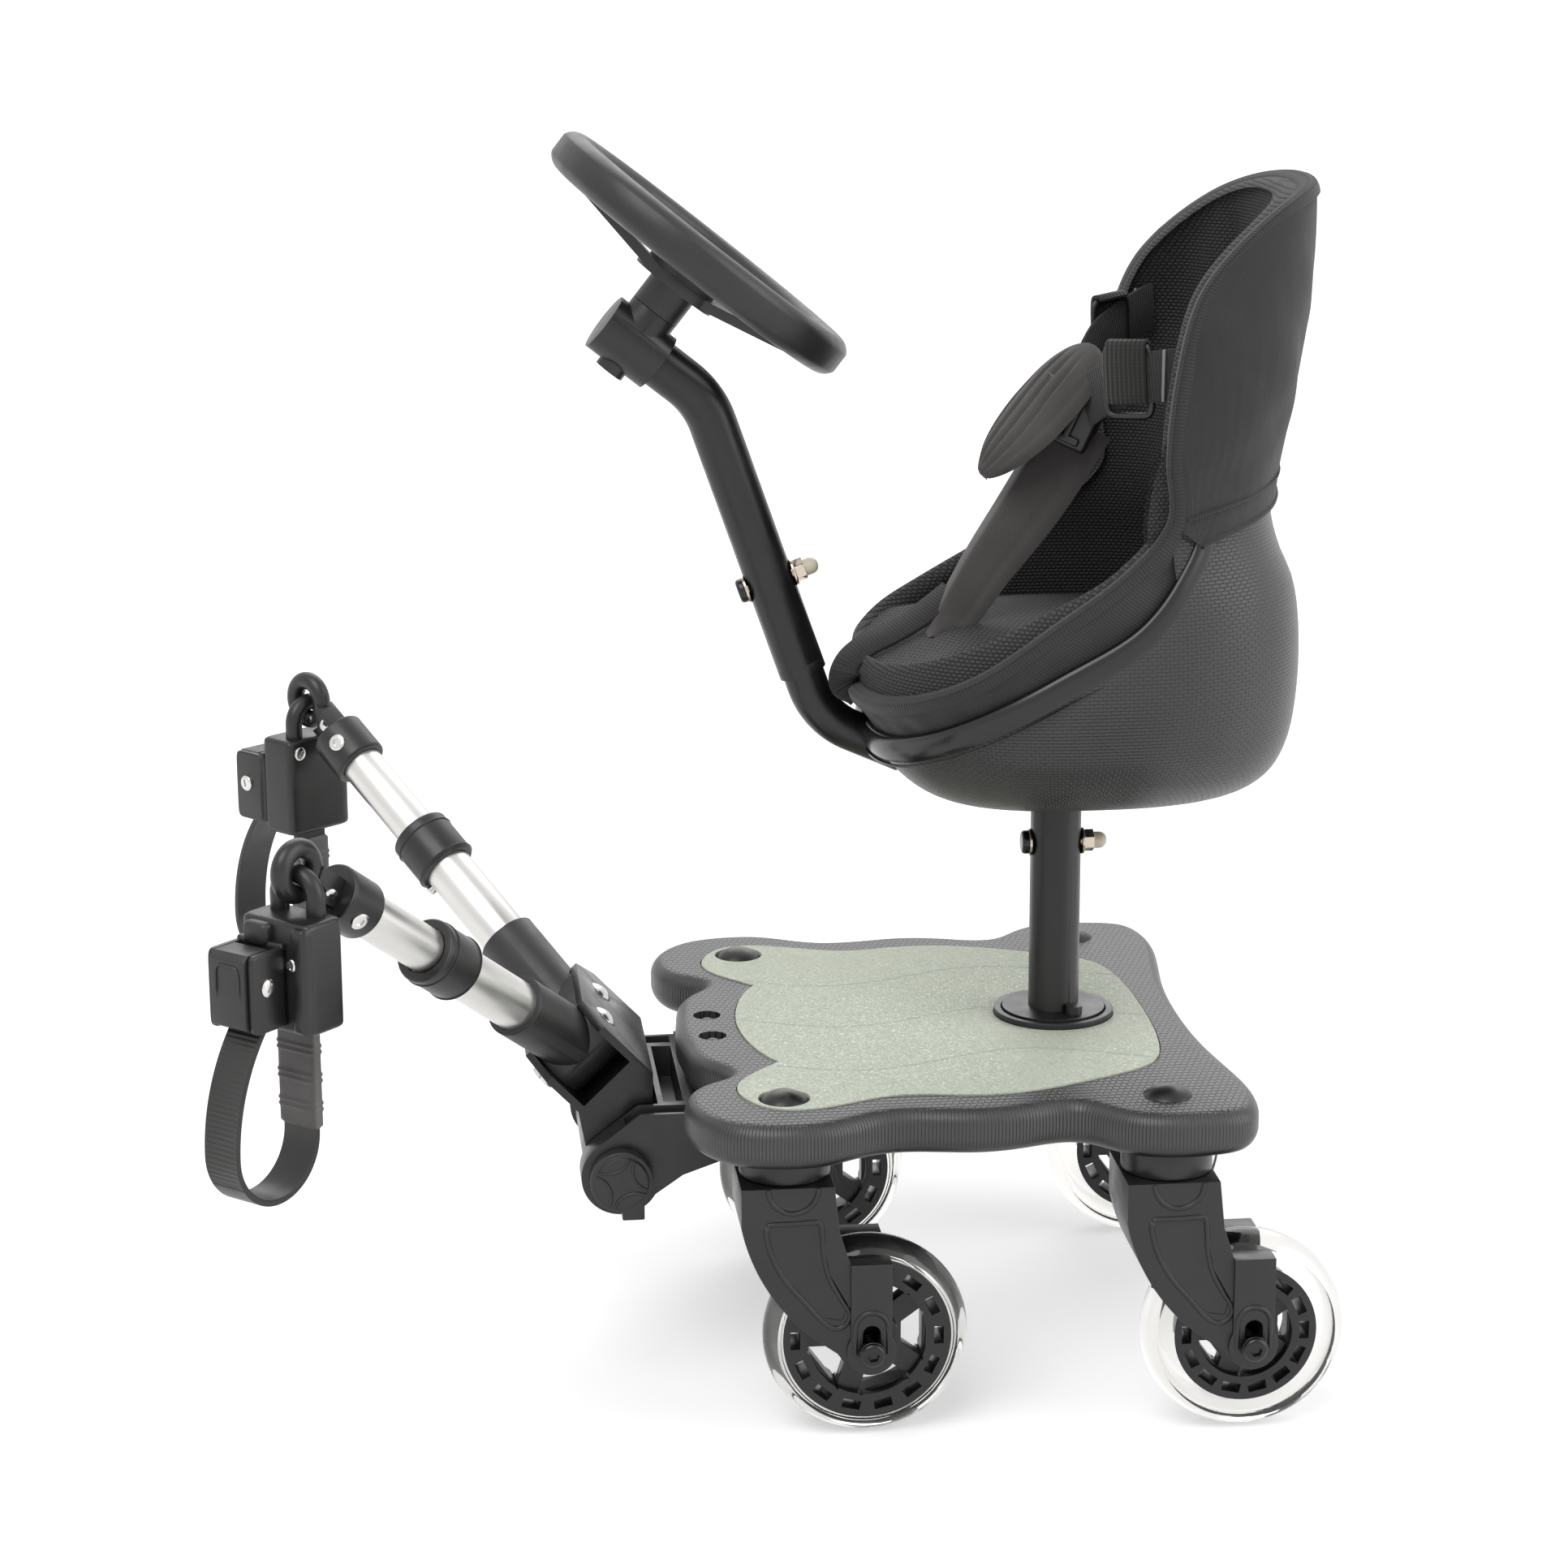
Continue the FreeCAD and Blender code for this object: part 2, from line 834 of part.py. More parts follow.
def make_axle():
    """The axle bolt with its head and nut, and two ball bearings, along Y."""
    reach = FORK_HALF + c.axle_box_proud + c.part_gap
    ends = reach + c.axle_head_height
    bolt = rod("axle_bolt", "y", c.axle_radius, (-reach, reach), (0, 0))
    near = rod("axle_head", "y", c.axle_head_radius, (-ends, -reach), (0, 0))
    far = rod("axle_nut", "y", c.axle_head_radius, (reach, ends), (0, 0))
    spindle = fuse("axle_spindle", bolt, near, far)
    outer = c.hub_boss_length / 2
    bearings = []
    for low, high in ((-outer, c.bearing_width - outer), (outer - c.bearing_width, outer)):
        ring = rod("bearing_ring", "y", c.bearing_radius, (low, high), (0, 0))
        bore = rod("bearing_bore", "y", c.axle_radius, (low - c.cut_overrun, high + c.cut_overrun), (0, 0))
        bearings.append(cut("bearing", ring, bore))
    return group("axle", spindle, *bearings)


def make_fork():
    """A caster fork: stem, crown, two swept legs and two slotted axle boxes. Origin under its stem."""
    top = FORK_TOP
    steps = [
        (-c.fork_front, top),
        (-c.fork_front, top - c.crown_depth, c.fork_sweep_radius),
        (c.heel_x, c.heel_height),
        (c.caster_trail - c.toe_back, WHEEL_RADIUS - c.toe_drop),
        (c.caster_trail, WHEEL_RADIUS),
        (c.caster_trail - c.axle_box_width / 2, c.axle_box_top),
        (c.throat_x, c.throat_height),
        (c.fork_rear, top),
    ]
    legs = prism("fork_legs", steps, (-FORK_HALF, FORK_HALF))
    outer = FORK_HALF + c.axle_box_proud
    low_x = c.caster_trail - c.axle_box_width / 2
    high_x = c.caster_trail + c.axle_box_width / 2
    axle_box = box("axle_box", (low_x, high_x), (-outer, outer), (WHEEL_RADIUS, c.axle_box_top))
    boss = rod("axle_boss", "y", c.axle_boss_radius, (-outer, outer), (c.caster_trail, WHEEL_RADIUS))
    stem = rod("fork_stem", "z", c.stem_radius, (top - c.cut_overrun, top + c.stem_rise), (0, 0))
    blank = fuse("fork_blank", legs, axle_box, boss, stem)
    well_radius = WHEEL_RADIUS + c.well_gap
    wheel_span = (-c.fork_gap / 2, c.fork_gap / 2)
    raised = WHEEL_RADIUS + c.suspension_travel
    well_low = rod("well_low", "y", well_radius, wheel_span, (c.caster_trail, WHEEL_RADIUS))
    well_high = rod("well_high", "y", well_radius, wheel_span, (c.caster_trail, raised))
    slot_radius = c.axle_radius + c.part_gap
    through = (-outer - c.cut_overrun, outer + c.cut_overrun)
    slot_low = rod("slot_low", "y", slot_radius, through, (c.caster_trail, WHEEL_RADIUS))
    slot_high = rod("slot_high", "y", slot_radius, through, (c.caster_trail, raised))
    slot_x = (c.caster_trail - slot_radius, c.caster_trail + slot_radius)
    slot = box("slot", slot_x, through, (WHEEL_RADIUS, raised))
    span_x = c.fork_front + c.caster_trail
    span_z = top - WHEEL_RADIUS
    panel = []
    for x_share, z_share in PANEL_SHARES:
        panel.append((span_x * x_share - c.fork_front, WHEEL_RADIUS + span_z * z_share))
    panel.reverse()
    far_panel = prism("far_panel", panel, (FORK_HALF - c.panel_depth, FORK_HALF + c.cut_overrun))
    near_panel = mirrored("near_panel", far_panel)
    tools = (well_low, well_high, slot_low, slot_high, slot, far_panel, near_panel)
    return cut("fork", blank, *tools)


def make_casters():
    for name, x, y, hub_radius in CASTERS:
        stem = Placement(point(x, y, 0), Rotation())
        axle = Placement(point(x + c.caster_trail, y, WHEEL_RADIUS), Rotation())
        add(make_fork(), f"fork_{name}", stem)
        add(make_axle(), f"axle_{name}", axle)
        add(make_tyre(hub_radius), f"tyre_{name}", axle)
        add(make_hub(hub_radius), f"hub_{name}", axle)


def make_collars():
    """Four round bosses under the deck, each a bearing for a caster's stem."""
    rings = []
    for _, x, y, _ in CASTERS:
        low = DECK_BOTTOM - c.collar_height
        ring = rod("collar_ring", "z", c.collar_radius, (low, DECK_BOTTOM), (x, y))
        bore_span = (low - c.cut_overrun, DECK_BOTTOM + c.cut_overrun)
        bore = rod("collar_bore", "z", c.stem_radius + c.running_gap, bore_span, (x, y))
        rings.append(cut("collar", ring, bore))
    add(group("collars", *rings), "caster_collars")


def outline_points(shares, centre_x, half_length, half_width, height, side):
    points = []
    for x_share, y_share in shares:
        points.append(point(centre_x + half_length * x_share, half_width * y_share * side, height))
    return points


def pad_face(grow, height):
    """The grip pad's outline, grown by a border, as a face at a height."""
    length = c.pad_half_length + grow
    width = c.pad_half_width + grow
    lobe_far = outline_points(PAD_LOBE_SHARES, c.pad_centre_x, length, width, height, 1)
    lobe_near = outline_points(PAD_LOBE_SHARES, c.pad_centre_x, length, width, height, -1)
    side_far = outline_points(PAD_SIDE_SHARES, c.pad_centre_x, length, width, height, 1)
    side_near = outline_points(PAD_SIDE_SHARES, c.pad_centre_x, length, width, height, -1)
    lobe = spline(lobe_near[::-1] + lobe_far[1:])
    rest = spline(side_far + side_near[-2::-1])
    return Part.Face(Part.Wire([lobe, rest]))


def make_deck():
    """The moulded platform, with a recess for its grip pad and holes for what goes through it."""
    far = outline_points(DECK_SHARES, c.deck_centre_x, c.deck_half_length, c.deck_half_width, DECK_BOTTOM, 1)
    sizes = (c.deck_centre_x, c.deck_half_length, c.deck_half_width, DECK_BOTTOM)
    near = outline_points(DECK_SHARES, *sizes, -1)
    face = Part.Face(closed_spline(far + near[-2:0:-1]))
    blank = solid("deck_blank", face.extrude(point(0, 0, c.deck_thickness)))
    high = float(c.deck_top)
    low = float(DECK_BOTTOM)
    at_top = lambda edge: abs(edge.BoundBox.ZMin - high) < 1e-6
    top_edge = rounded("deck_top_edge", blank, c.deck_top_round, at_top)
    edges = rounded("deck_edges", top_edge, c.deck_bottom_round, lambda e: abs(e.BoundBox.ZMax - low) < 1e-6)
    floor = c.deck_top - c.pad_recess
    recess_face = pad_face(c.pad_border, floor)
    recess = solid("pad_recess", recess_face.extrude(point(0, 0, c.pad_recess + c.cut_overrun)))
    through = (DECK_BOTTOM - c.cut_overrun, c.deck_top + c.cut_overrun)
    tools = [recess]
    tools.append(rod("socket_hole", "z", c.socket_barrel_radius + c.part_gap, through, (c.post_x, 0)))
    for _, x, y, _ in CASTERS:
        pocket_top = FORK_TOP + c.stem_rise + c.cut_overrun
        pocket_span = (DECK_BOTTOM - c.cut_overrun, pocket_top)
        tools.append(rod("stem_pocket", "z", c.stem_radius + c.cut_overrun, pocket_span, (x, y)))
    for y in (-c.lobe_bolt_half_spacing, c.lobe_bolt_half_spacing):
        recess_span = (c.deck_top - c.lobe_recess_depth, c.deck_top + c.cut_overrun)
        tools.append(rod("lobe_recess", "z", c.lobe_recess_radius, recess_span, (c.lobe_bolt_x, y)))
        tools.append(rod("lobe_hole", "z", c.lobe_bolt_radius + c.part_gap, through, (c.lobe_bolt_x, y)))
    add(cut("deck", edges, *tools), "deck")


def make_grip_pad():
    floor = c.deck_top - c.pad_recess
    sheet_solid = solid("pad_sheet", pad_face(term(0), floor).extrude(point(0, 0, c.pad_thickness)))
    through = (floor - c.cut_overrun, c.deck_top + c.cut_overrun)
    tools = [rod("pad_socket_hole", "z", c.socket_ring_radius + c.part_gap, through, (c.post_x, 0))]
    for _, x, y, _ in CASTERS[:2]:
        tools.append(rod("pad_cap_hole", "z", c.cap_hole_radius, through, (x, y)))
    add(cut("grip_pad", sheet_solid, *tools), "grip_pad")


def make_deck_bolts():
    """Domed caps over the caster stems and two bolts that hold the hitch bracket."""
    pieces = []
    for number, (_, x, y, _) in enumerate(CASTERS):
        base = c.deck_top - c.pad_recess if number < 2 else c.deck_top
        pieces.append(dome("stem_cap", c.cap_radius, c.cap_height + c.deck_top - base, (x, y, base)))
    seat = c.deck_top - c.lobe_recess_depth
    foot = DECK_BOTTOM - c.tongue_height - c.lobe_head_height
    for y in (-c.lobe_bolt_half_spacing, c.lobe_bolt_half_spacing):
        head = dome("lobe_head", c.lobe_head_radius, c.lobe_head_height, (c.lobe_bolt_x, y, seat))
        shank = rod("lobe_shank", "z", c.lobe_bolt_radius, (foot, seat), (c.lobe_bolt_x, y))
        nut_span = (foot, DECK_BOTTOM - c.tongue_height)
        nut = rod("lobe_nut", "z", c.lobe_head_radius, nut_span, (c.lobe_bolt_x, y))
        pieces.append(fuse("lobe_bolt", head, shank, nut))
    add(group("deck_bolts", *pieces), "deck_bolts")


def make_seat_socket():
    """A flanged socket that goes through the deck and takes the seat post's spigot."""
    base = c.deck_top - c.pad_recess
    top = base + c.socket_ring_height + c.pad_recess
    bottom = top - c.socket_recess_depth - c.spigot_depth - c.part_gap
    flange = rod("socket_flange", "z", c.socket_ring_radius, (base, top), (c.post_x, 0))
    barrel_z = (bottom - c.socket_floor, base)
    barrel = rod("socket_barrel", "z", c.socket_barrel_radius, barrel_z, (c.post_x, 0))
    recess_span = (top - c.socket_recess_depth, top + c.cut_overrun)
    recess = rod("socket_recess", "z", c.socket_recess_radius, recess_span, (c.post_x, 0))
    bore_span = (bottom - c.cut_overrun - c.socket_floor, top + c.cut_overrun)
    bore = rod("socket_bore", "z", c.spigot_radius + c.running_gap, bore_span, (c.post_x, 0))
    add(cut("seat_socket", fuse("socket_blank", flange, barrel), recess, bore), "seat_socket")
    return top - c.socket_recess_depth + c.part_gap


def bolt_set(half_width, placement):
    """A cross bolt along X with its washers, nut and cap, through a round piece at the origin."""
    head_end = half_width + c.washer_height
    nut_end = half_width + c.washer_height + c.nut_height
    shank = rod("cross_shank", "x", c.bolt_radius, (-head_end, nut_end + c.bolt_cap_height / 2), (0, 0))
    head = rod("cross_head", "x", c.bolt_head_radius, (-head_end - c.bolt_head_height, -head_end), (0, 0))
    screw = fuse("cross_screw", shank, rounded("cross_head_round", head, c.bolt_head_height / 2, at_low_x))
    pieces = [screw]
    for low, high in ((-head_end, -half_width), (half_width, head_end)):
        disc = rod("washer_disc", "x", c.washer_radius, (low, high), (0, 0))
        hole_span = (low - c.cut_overrun, high + c.cut_overrun)
        pieces.append(cut("washer", disc, rod("washer_hole", "x", c.bolt_radius, hole_span, (0, 0))))
    nut = fresh("Part::Prism", "nut_hexagon")
    nut.Polygon = 6
    nut.Placement = Placement(Vector(), AXES["x"])
    bind(nut, Circumradius=c.nut_across / 2 / cosine(Size(30)), Height=c.nut_height)
    locate(nut, head_end, 0, 0)
    nut_span = (head_end - c.cut_overrun, nut_end + c.cut_overrun)
    pieces.append(cut("nut", nut, rod("nut_hole", "x", c.bolt_radius, nut_span, (0, 0))))
    cap_end = nut_end + c.bolt_cap_height
    cap = rounded(
        "bolt_cap_round",
        rod("bolt_cap", "x", c.bolt_cap_radius, (nut_end, cap_end), (0, 0)),
        c.bolt_cap_radius - c.part_gap,
        at_high_x,
    )
    cap_hole = rod("bolt_cap_hole", "x", c.bolt_radius, (head_end, nut_end + c.bolt_cap_height / 2), (0, 0))
    pieces.append(cut("bolt_cap_hollow", cap, cap_hole))
    whole = group("bolt_set", *pieces)
    whole.Placement = placement
    return whole


def at_low_x(edge):
    """The ring edge that bounds a rod's low end along X."""
    owner_low = edge.BoundBox.XMin < 0
    past_head = edge.BoundBox.XMin < -float(c.post_radius + c.bolt_head_height)
    return edge.BoundBox.XLength < 1e-6 and owner_low and past_head


def at_high_x(edge):
    """The ring edge that bounds a cap's high end along X."""
    reach = c.post_radius + c.washer_height + c.nut_height + c.bolt_cap_height / 2
    return edge.BoundBox.XLength < 1e-6 and edge.BoundBox.XMin > float(reach)


def stem_direction():
    return point(-sine(c.stem_lean), 0, cosine(c.stem_lean))


def make_cross_bolts():
    """One bolt set through the seat post and one through the steering stem."""
    post = Placement(point(c.post_x, 0, c.post_bolt_z), Rotation())
    along = stem_direction()
    foot = point(c.stem_foot_x, 0, c.stem_foot_z)
    across = point(cosine(c.stem_lean), 0, sine(c.stem_lean))
    stem = frame(foot + along * float(c.stem_bolt_rise), across, along)
    sets = (bolt_set(c.post_radius, post), bolt_set(c.upper_stem_radius, stem))
    add(group("cross_bolts", *sets), "cross_bolts")


def make_seat_post(seat):
    """The tube that carries the seat: spigot, base disc with a release button, and a bored top."""
    spigot = rod("post_spigot", "z", c.spigot_radius, (seat - c.spigot_depth, seat), (c.post_x, 0))
    disc = rod("post_disc", "z", c.base_disc_radius, (seat, seat + c.base_disc_height), (c.post_x, 0))
    top = c.seat_base - c.part_gap
    tube = rod("post_tube", "z", c.post_radius, (seat, top), (c.post_x, 0))
    reach = c.post_radius + c.base_button_radius
    button_x = c.post_x + reach * cosine(c.base_button_angle)
    button_y = reach * sine(c.base_button_angle)
    button_span = (seat, seat + c.base_button_height)
    button = rod("post_button", "z", c.base_button_radius, button_span, (button_x, button_y))
    bore = rod("post_bore", "z", c.post_bore, (c.post_bore_floor, top + c.cut_overrun), (c.post_x, 0))
    side = c.post_radius + c.cut_overrun
    hole_span = (c.post_x - side, c.post_x + side)
    hole = rod("post_bolt_hole", "x", c.bolt_radius + c.running_gap, hole_span, (0, c.post_bolt_z))
    blank = fuse("post_blank", spigot, disc, tube, button)
    add(cut("seat_post", blank, bore, hole), "seat_post")


def make_hitch_bracket():
    """The moulded bracket under the deck's front: a tongue, a pocketed beam and two eared cheeks."""
    outer_y = c.cheek_inner_y + c.cheek_width
    tongue_z = (DECK_BOTTOM - c.tongue_height, DECK_BOTTOM)
    tongue = box("tongue", (c.beam_rear_x, c.tongue_rear_x), (-outer_y, outer_y), tongue_z)
    tongue_bridge = box("tongue_bridge", (c.beam_front_x, c.beam_rear_x), (-outer_y, outer_y), (
        c.cheek_top_z - c.beam_pocket_depth - c.beam_wall, c.cheek_top_z))
    pocket_x = (c.beam_front_x + c.beam_wall, c.beam_rear_x - c.beam_wall)
    pocket_z = (c.cheek_top_z - c.beam_pocket_depth, c.cheek_top_z + c.cut_overrun)
    pocket_y = c.cheek_inner_y - c.beam_wall
    pocket = box("beam_pocket", pocket_x, (-pocket_y, pocket_y), pocket_z)
    tangent = c.ear_radius * cosine(Size(30))
    drop = c.ear_radius * sine(Size(30))
    steps = [
        (c.pivot_x + tangent, c.pivot_z - drop),
        (c.keel_x, c.keel_z),
        (c.keel_rear_x, c.keel_rear_z),
        (c.tongue_rear_x, DECK_BOTTOM - c.tongue_height),
        (c.beam_rear_x, c.cheek_top_z),
        (c.pivot_x + c.ear_radius / 2, c.cheek_top_z),
        (c.pivot_x - c.ear_radius * sine(Size(45)), c.pivot_z + c.ear_radius * cosine(Size(45))),
    ]
    cheeks = []
    for low, high in ((c.cheek_inner_y, outer_y), (-outer_y, -c.cheek_inner_y)):
        blade = prism("cheek_blade", steps, (low, high))
        ear = rod("cheek_ear", "y", c.ear_radius, (low, high), (c.pivot_x, c.pivot_z))
        cheeks.extend((blade, ear))
    cheek_pockets = []
    for low, high in ((c.cheek_inner_y, outer_y), (-outer_y, -c.cheek_inner_y)):
        cell_x = (c.pivot_x + c.cheek_wall, c.beam_rear_x - c.cheek_wall)
        cell_y = (low + c.cheek_wall, high - c.cheek_wall)
        cell_z = (c.cheek_top_z - c.cheek_pocket_depth, c.cheek_top_z + c.cut_overrun)
        cheek_pockets.append(box("cheek_cell", cell_x, cell_y, cell_z))
    bolts = []
    for y in (-c.lobe_bolt_half_spacing, c.lobe_bolt_half_spacing):
        hole_z = (DECK_BOTTOM - c.tongue_height - c.cut_overrun, DECK_BOTTOM + c.cut_overrun)
        bolts.append(rod("tongue_hole", "z", c.lobe_bolt_radius + c.running_gap, hole_z, (c.lobe_bolt_x, y)))
    through = (-outer_y - c.cut_overrun, outer_y + c.cut_overrun)
    shaft_hole = rod("ear_hole", "y", c.pivot_radius + c.running_gap, through, (c.pivot_x, c.pivot_z))
    blank = fuse("bracket_blank", tongue, tongue_bridge, *cheeks)
    add(cut("hitch_bracket", blank, pocket, shaft_hole, *cheek_pockets, *bolts), "hitch_bracket")


def make_pivot():
    """The hitch pivot's shaft along Y and a round knob with a finger tab on each end."""
    outer_y = c.cheek_inner_y + c.cheek_width
    reach = outer_y + c.knob_height / 2
    shaft = rod("pivot_shaft_rod", "y", c.pivot_radius, (-reach, reach), (c.pivot_x, c.pivot_z))
    add(shaft, "pivot_shaft")
    low = outer_y + c.part_gap
    disc = rod("knob_disc", "y", c.knob_radius, (low, low + c.knob_height), (c.pivot_x, c.pivot_z))
    tab_x = (c.pivot_x, c.pivot_x + c.knob_tab_width)
    tab_z = (c.pivot_z - c.knob_tab_reach, c.pivot_z)
    tab = box("knob_tab", tab_x, (low, low + c.knob_height), tab_z)
    blank = fuse("knob_blank", disc, tab)
    ring_y = (low + c.knob_height - c.knob_groove, low + c.knob_height + c.cut_overrun)
    ring = rod("knob_ring", "y", c.knob_radius + c.knob_tab_reach, ring_y, (c.pivot_x, c.pivot_z))
    grip = rod("knob_grip", "y", c.knob_grip_width, ring_y, (c.pivot_x, c.pivot_z))
    bore = rod("knob_bore", "y", c.pivot_radius, (low - c.cut_overrun, reach), (c.pivot_x, c.pivot_z))
    far = cut("knob", blank, cut("knob_step", ring, grip), bore)
    near = mirrored("knob_near", far)
    add(group("pivot_knobs", far, near), "pivot_knobs")


def hitch_axes():
    """The yoke's forward-up axis and the normal of its plates."""
    forward = point(-cosine(c.hitch_tilt), 0, sine(c.hitch_tilt))
    normal = point(sine(c.hitch_tilt), 0, cosine(c.hitch_tilt))
    return forward, normal


def make_yoke():
    """The tilting yoke: a hub on the pivot shaft, a block, and two plates that hold the arms."""
    forward, normal = hitch_axes()
    half_socket = c.socket_thickness / 2 + c.part_gap
    under = c.arm_plane_rise - half_socket
    over = c.arm_plane_rise + half_socket
    hub_half = c.cheek_inner_y - c.part_gap
    hub = rod("yoke_hub", "y", c.yoke_hub_radius, (-hub_half, hub_half), (0, 0))
    wide = (-c.yoke_half_width, c.yoke_half_width)
    back_a = -c.yoke_back * cosine(c.hitch_tilt)
    back_n = c.yoke_back * sine(c.hitch_tilt)
    rise = (over + c.plate_thickness - back_n) / cosine(c.hitch_tilt)
    steps = [
        (back_a, back_n),
        (0, -c.yoke_hub_radius),
        (c.yoke_block_reach, under - c.plate_thickness),
        (c.yoke_block_reach, over + c.plate_thickness),
        (back_a + rise * sine(c.hitch_tilt), over + c.plate_thickness),
    ]
    block = prism("yoke_block", steps, wide)
    reach_x = (c.yoke_block_reach - c.cut_overrun, c.plate_reach)
    upper = box("upper_plate", reach_x, wide, (over, over + c.plate_thickness))
    lower = box("lower_plate", reach_x, wide, (under - c.plate_thickness, under))
    corners = []
    for side in (-1, 1):
        corner_z = (under - c.plate_thickness - c.cut_overrun, over + c.plate_thickness + c.cut_overrun)
        wedge = fresh("Part::Wedge", "plate_corner")
        low_y = c.yoke_waist_half_width if side > 0 else -c.yoke_half_width - c.cut_overrun
        high_y = c.yoke_half_width + c.cut_overrun if side > 0 else -c.yoke_waist_half_width
        start = c.plate_reach - c.plate_corner
        finish = c.plate_reach + c.cut_overrun
        narrow = finish - c.part_gap
        bind(wedge, Xmin=narrow if side > 0 else start, X2min=start if side > 0 else narrow)
        bind(wedge, Xmax=finish, X2max=finish, Ymin=low_y, Ymax=high_y)
        bind(wedge, Zmin=corner_z[0], Zmax=corner_z[1], Z2min=corner_z[0], Z2max=corner_z[1])
        corners.append(wedge)
    blank = fuse("yoke_blank", hub, block, upper, lower)
    ends = hub_half + c.cut_overrun
    shaft_hole = rod("yoke_bore", "y", c.pivot_radius + c.running_gap, (-ends, ends), (0, 0))
    holes = []
    bolt_z = (under - c.plate_thickness - c.cut_overrun, over + c.plate_thickness + c.cut_overrun)
    for y in (-c.swivel_half_spacing, c.swivel_half_spacing):
        holes.append(rod("swivel_hole", "z", c.swivel_bolt_radius, bolt_z, (c.swivel_reach, y)))
    yoke = cut("yoke", blank, shaft_hole, *corners, *holes)
    place = frame(PIVOT, forward, normal)
    add(yoke, "yoke", place)
    bolts = []
    for y in (-c.swivel_half_spacing, c.swivel_half_spacing):
        low = under - c.plate_thickness
        high = over + c.plate_thickness
        shank = rod("swivel_shank", "z", c.swivel_bolt_radius, (low, high), (c.swivel_reach, y))
        head = dome("swivel_head", c.swivel_head_radius, c.swivel_head_height, (c.swivel_reach, y, high))
        nut_z = (low - c.nut_height, low)
        nut = rod("swivel_nut", "z", c.swivel_head_radius, nut_z, (c.swivel_reach, y))
        bolts.append(fuse("swivel_bolt", shank, head, nut))
    add(group("yoke_bolts", *bolts), "yoke_bolts", place)


def make_arm(side_name, side):
    """One telescopic arm with its socket, collar, spring button, end fitting, hook and gate."""
    forward, normal = hitch_axes()
    lateral = Vector(0, side, 0)
    swivel = PIVOT + forward * float(c.swivel_reach) + normal * float(c.arm_plane_rise)
    swivel = swivel + lateral * float(c.swivel_half_spacing)
    along = forward * float(cosine(c.arm_splay)) + lateral * float(sine(c.arm_splay))
    place = frame(swivel, along, normal)
    tube_bore = c.inner_tube_radius + c.running_gap
    half = c.socket_thickness / 2
    base = rod("socket_base", "z", c.socket_base_radius, (-half, half), (0, 0))
    barrel = rod("socket_barrel", "x", c.socket_radius, (0, c.socket_front), (0, 0))
    socket_bore_x = (c.socket_front - c.socket_bore_depth, c.socket_front + c.cut_overrun)
    socket_bore = rod("socket_bore", "x", c.outer_tube_radius, socket_bore_x, (0, 0))
    bolt_z = (-half - c.cut_overrun, half + c.cut_overrun)
    bolt_hole = rod("socket_bolt_hole", "z", c.swivel_bolt_radius + c.running_gap, bolt_z, (0, 0))
    socket = cut("arm_socket", fuse("socket_blank", base, barrel), socket_bore, bolt_hole)
    add(socket, f"arm_socket_{side_name}", place)

    tube_x = (c.socket_front - c.socket_bore_depth, c.outer_tube_end)
    outer = rod("outer_tube_rod", "x", c.outer_tube_radius, tube_x, (0, 0))
    bore_x = (tube_x[0] - c.cut_overrun, tube_x[1] + c.cut_overrun)
    outer_bore = rod("outer_tube_bore", "x", tube_bore, bore_x, (0, 0))
    hole_z = (-c.outer_tube_radius - c.cut_overrun, 0)
    hole_radius = c.button_radius + c.running_gap
    hole = rod("button_hole", "z", hole_radius, hole_z, (c.button_reach, 0))
    add(cut("outer_tube", outer, outer_bore, hole), f"outer_tube_{side_name}", place)

    collar_x = (c.outer_tube_end - c.collar_length + c.collar_lip, c.outer_tube_end + c.collar_lip)
    ring = rod("tube_collar_ring", "x", c.tube_collar_radius, collar_x, (0, 0))
    seat_x = (collar_x[0] - c.cut_overrun, c.outer_tube_end)
    seat = rod("tube_collar_seat", "x", c.outer_tube_radius, seat_x, (0, 0))
    lip_x = (collar_x[0], collar_x[1] + c.cut_overrun)
    lip = rod("tube_collar_lip", "x", c.inner_tube_radius + c.part_gap, lip_x, (0, 0))
    rim_round = rounded("tube_collar_round", ring, c.collar_lip / 2, lambda e: e.BoundBox.XLength < 1e-6)
    clearance = c.button_radius + c.button_hole_gap
    notch_z = (-c.tube_collar_radius - c.cut_overrun, 0)
    notch = rod("tube_collar_notch", "z", clearance, notch_z, (c.button_reach, 0))
    add(cut("tube_collar", rim_round, seat, lip, notch), f"tube_collar_{side_name}", place)

    tip = c.inner_tube_radius + c.part_gap
    button_z = (-c.outer_tube_radius - c.button_proud, -tip)
    pin = rod("spring_button_pin", "z", c.button_radius, button_z, (c.button_reach, 0))
    low_ring = float(-c.outer_tube_radius - c.button_proud)
    at_tip = lambda edge: abs(edge.BoundBox.ZMax - low_ring) < 1e-6
    button = rounded("spring_button", pin, c.button_radius / 2, at_tip)
    add(button, f"spring_button_{side_name}", place)

    inner_x = (c.inner_tube_start, c.inner_tube_end)
    inner = rod("inner_tube_rod", "x", c.inner_tube_radius, inner_x, (0, 0))
    inner_bore_x = (inner_x[0] - c.cut_overrun, inner_x[1] + c.cut_overrun)
    inner_bore = rod("inner_tube_bore", "x", c.inner_tube_radius - c.tube_wall, inner_bore_x, (0, 0))
    holes = []
    for step in (-1, 0, 1):
        reach = c.button_reach + c.telescope_step * step
        hole_z = (-c.inner_tube_radius - c.cut_overrun, 0)
        holes.append(rod("inner_tube_hole", "z", clearance, hole_z, (reach, 0)))
    add(cut("inner_tube", inner, inner_bore, *holes), f"inner_tube_{side_name}", place)

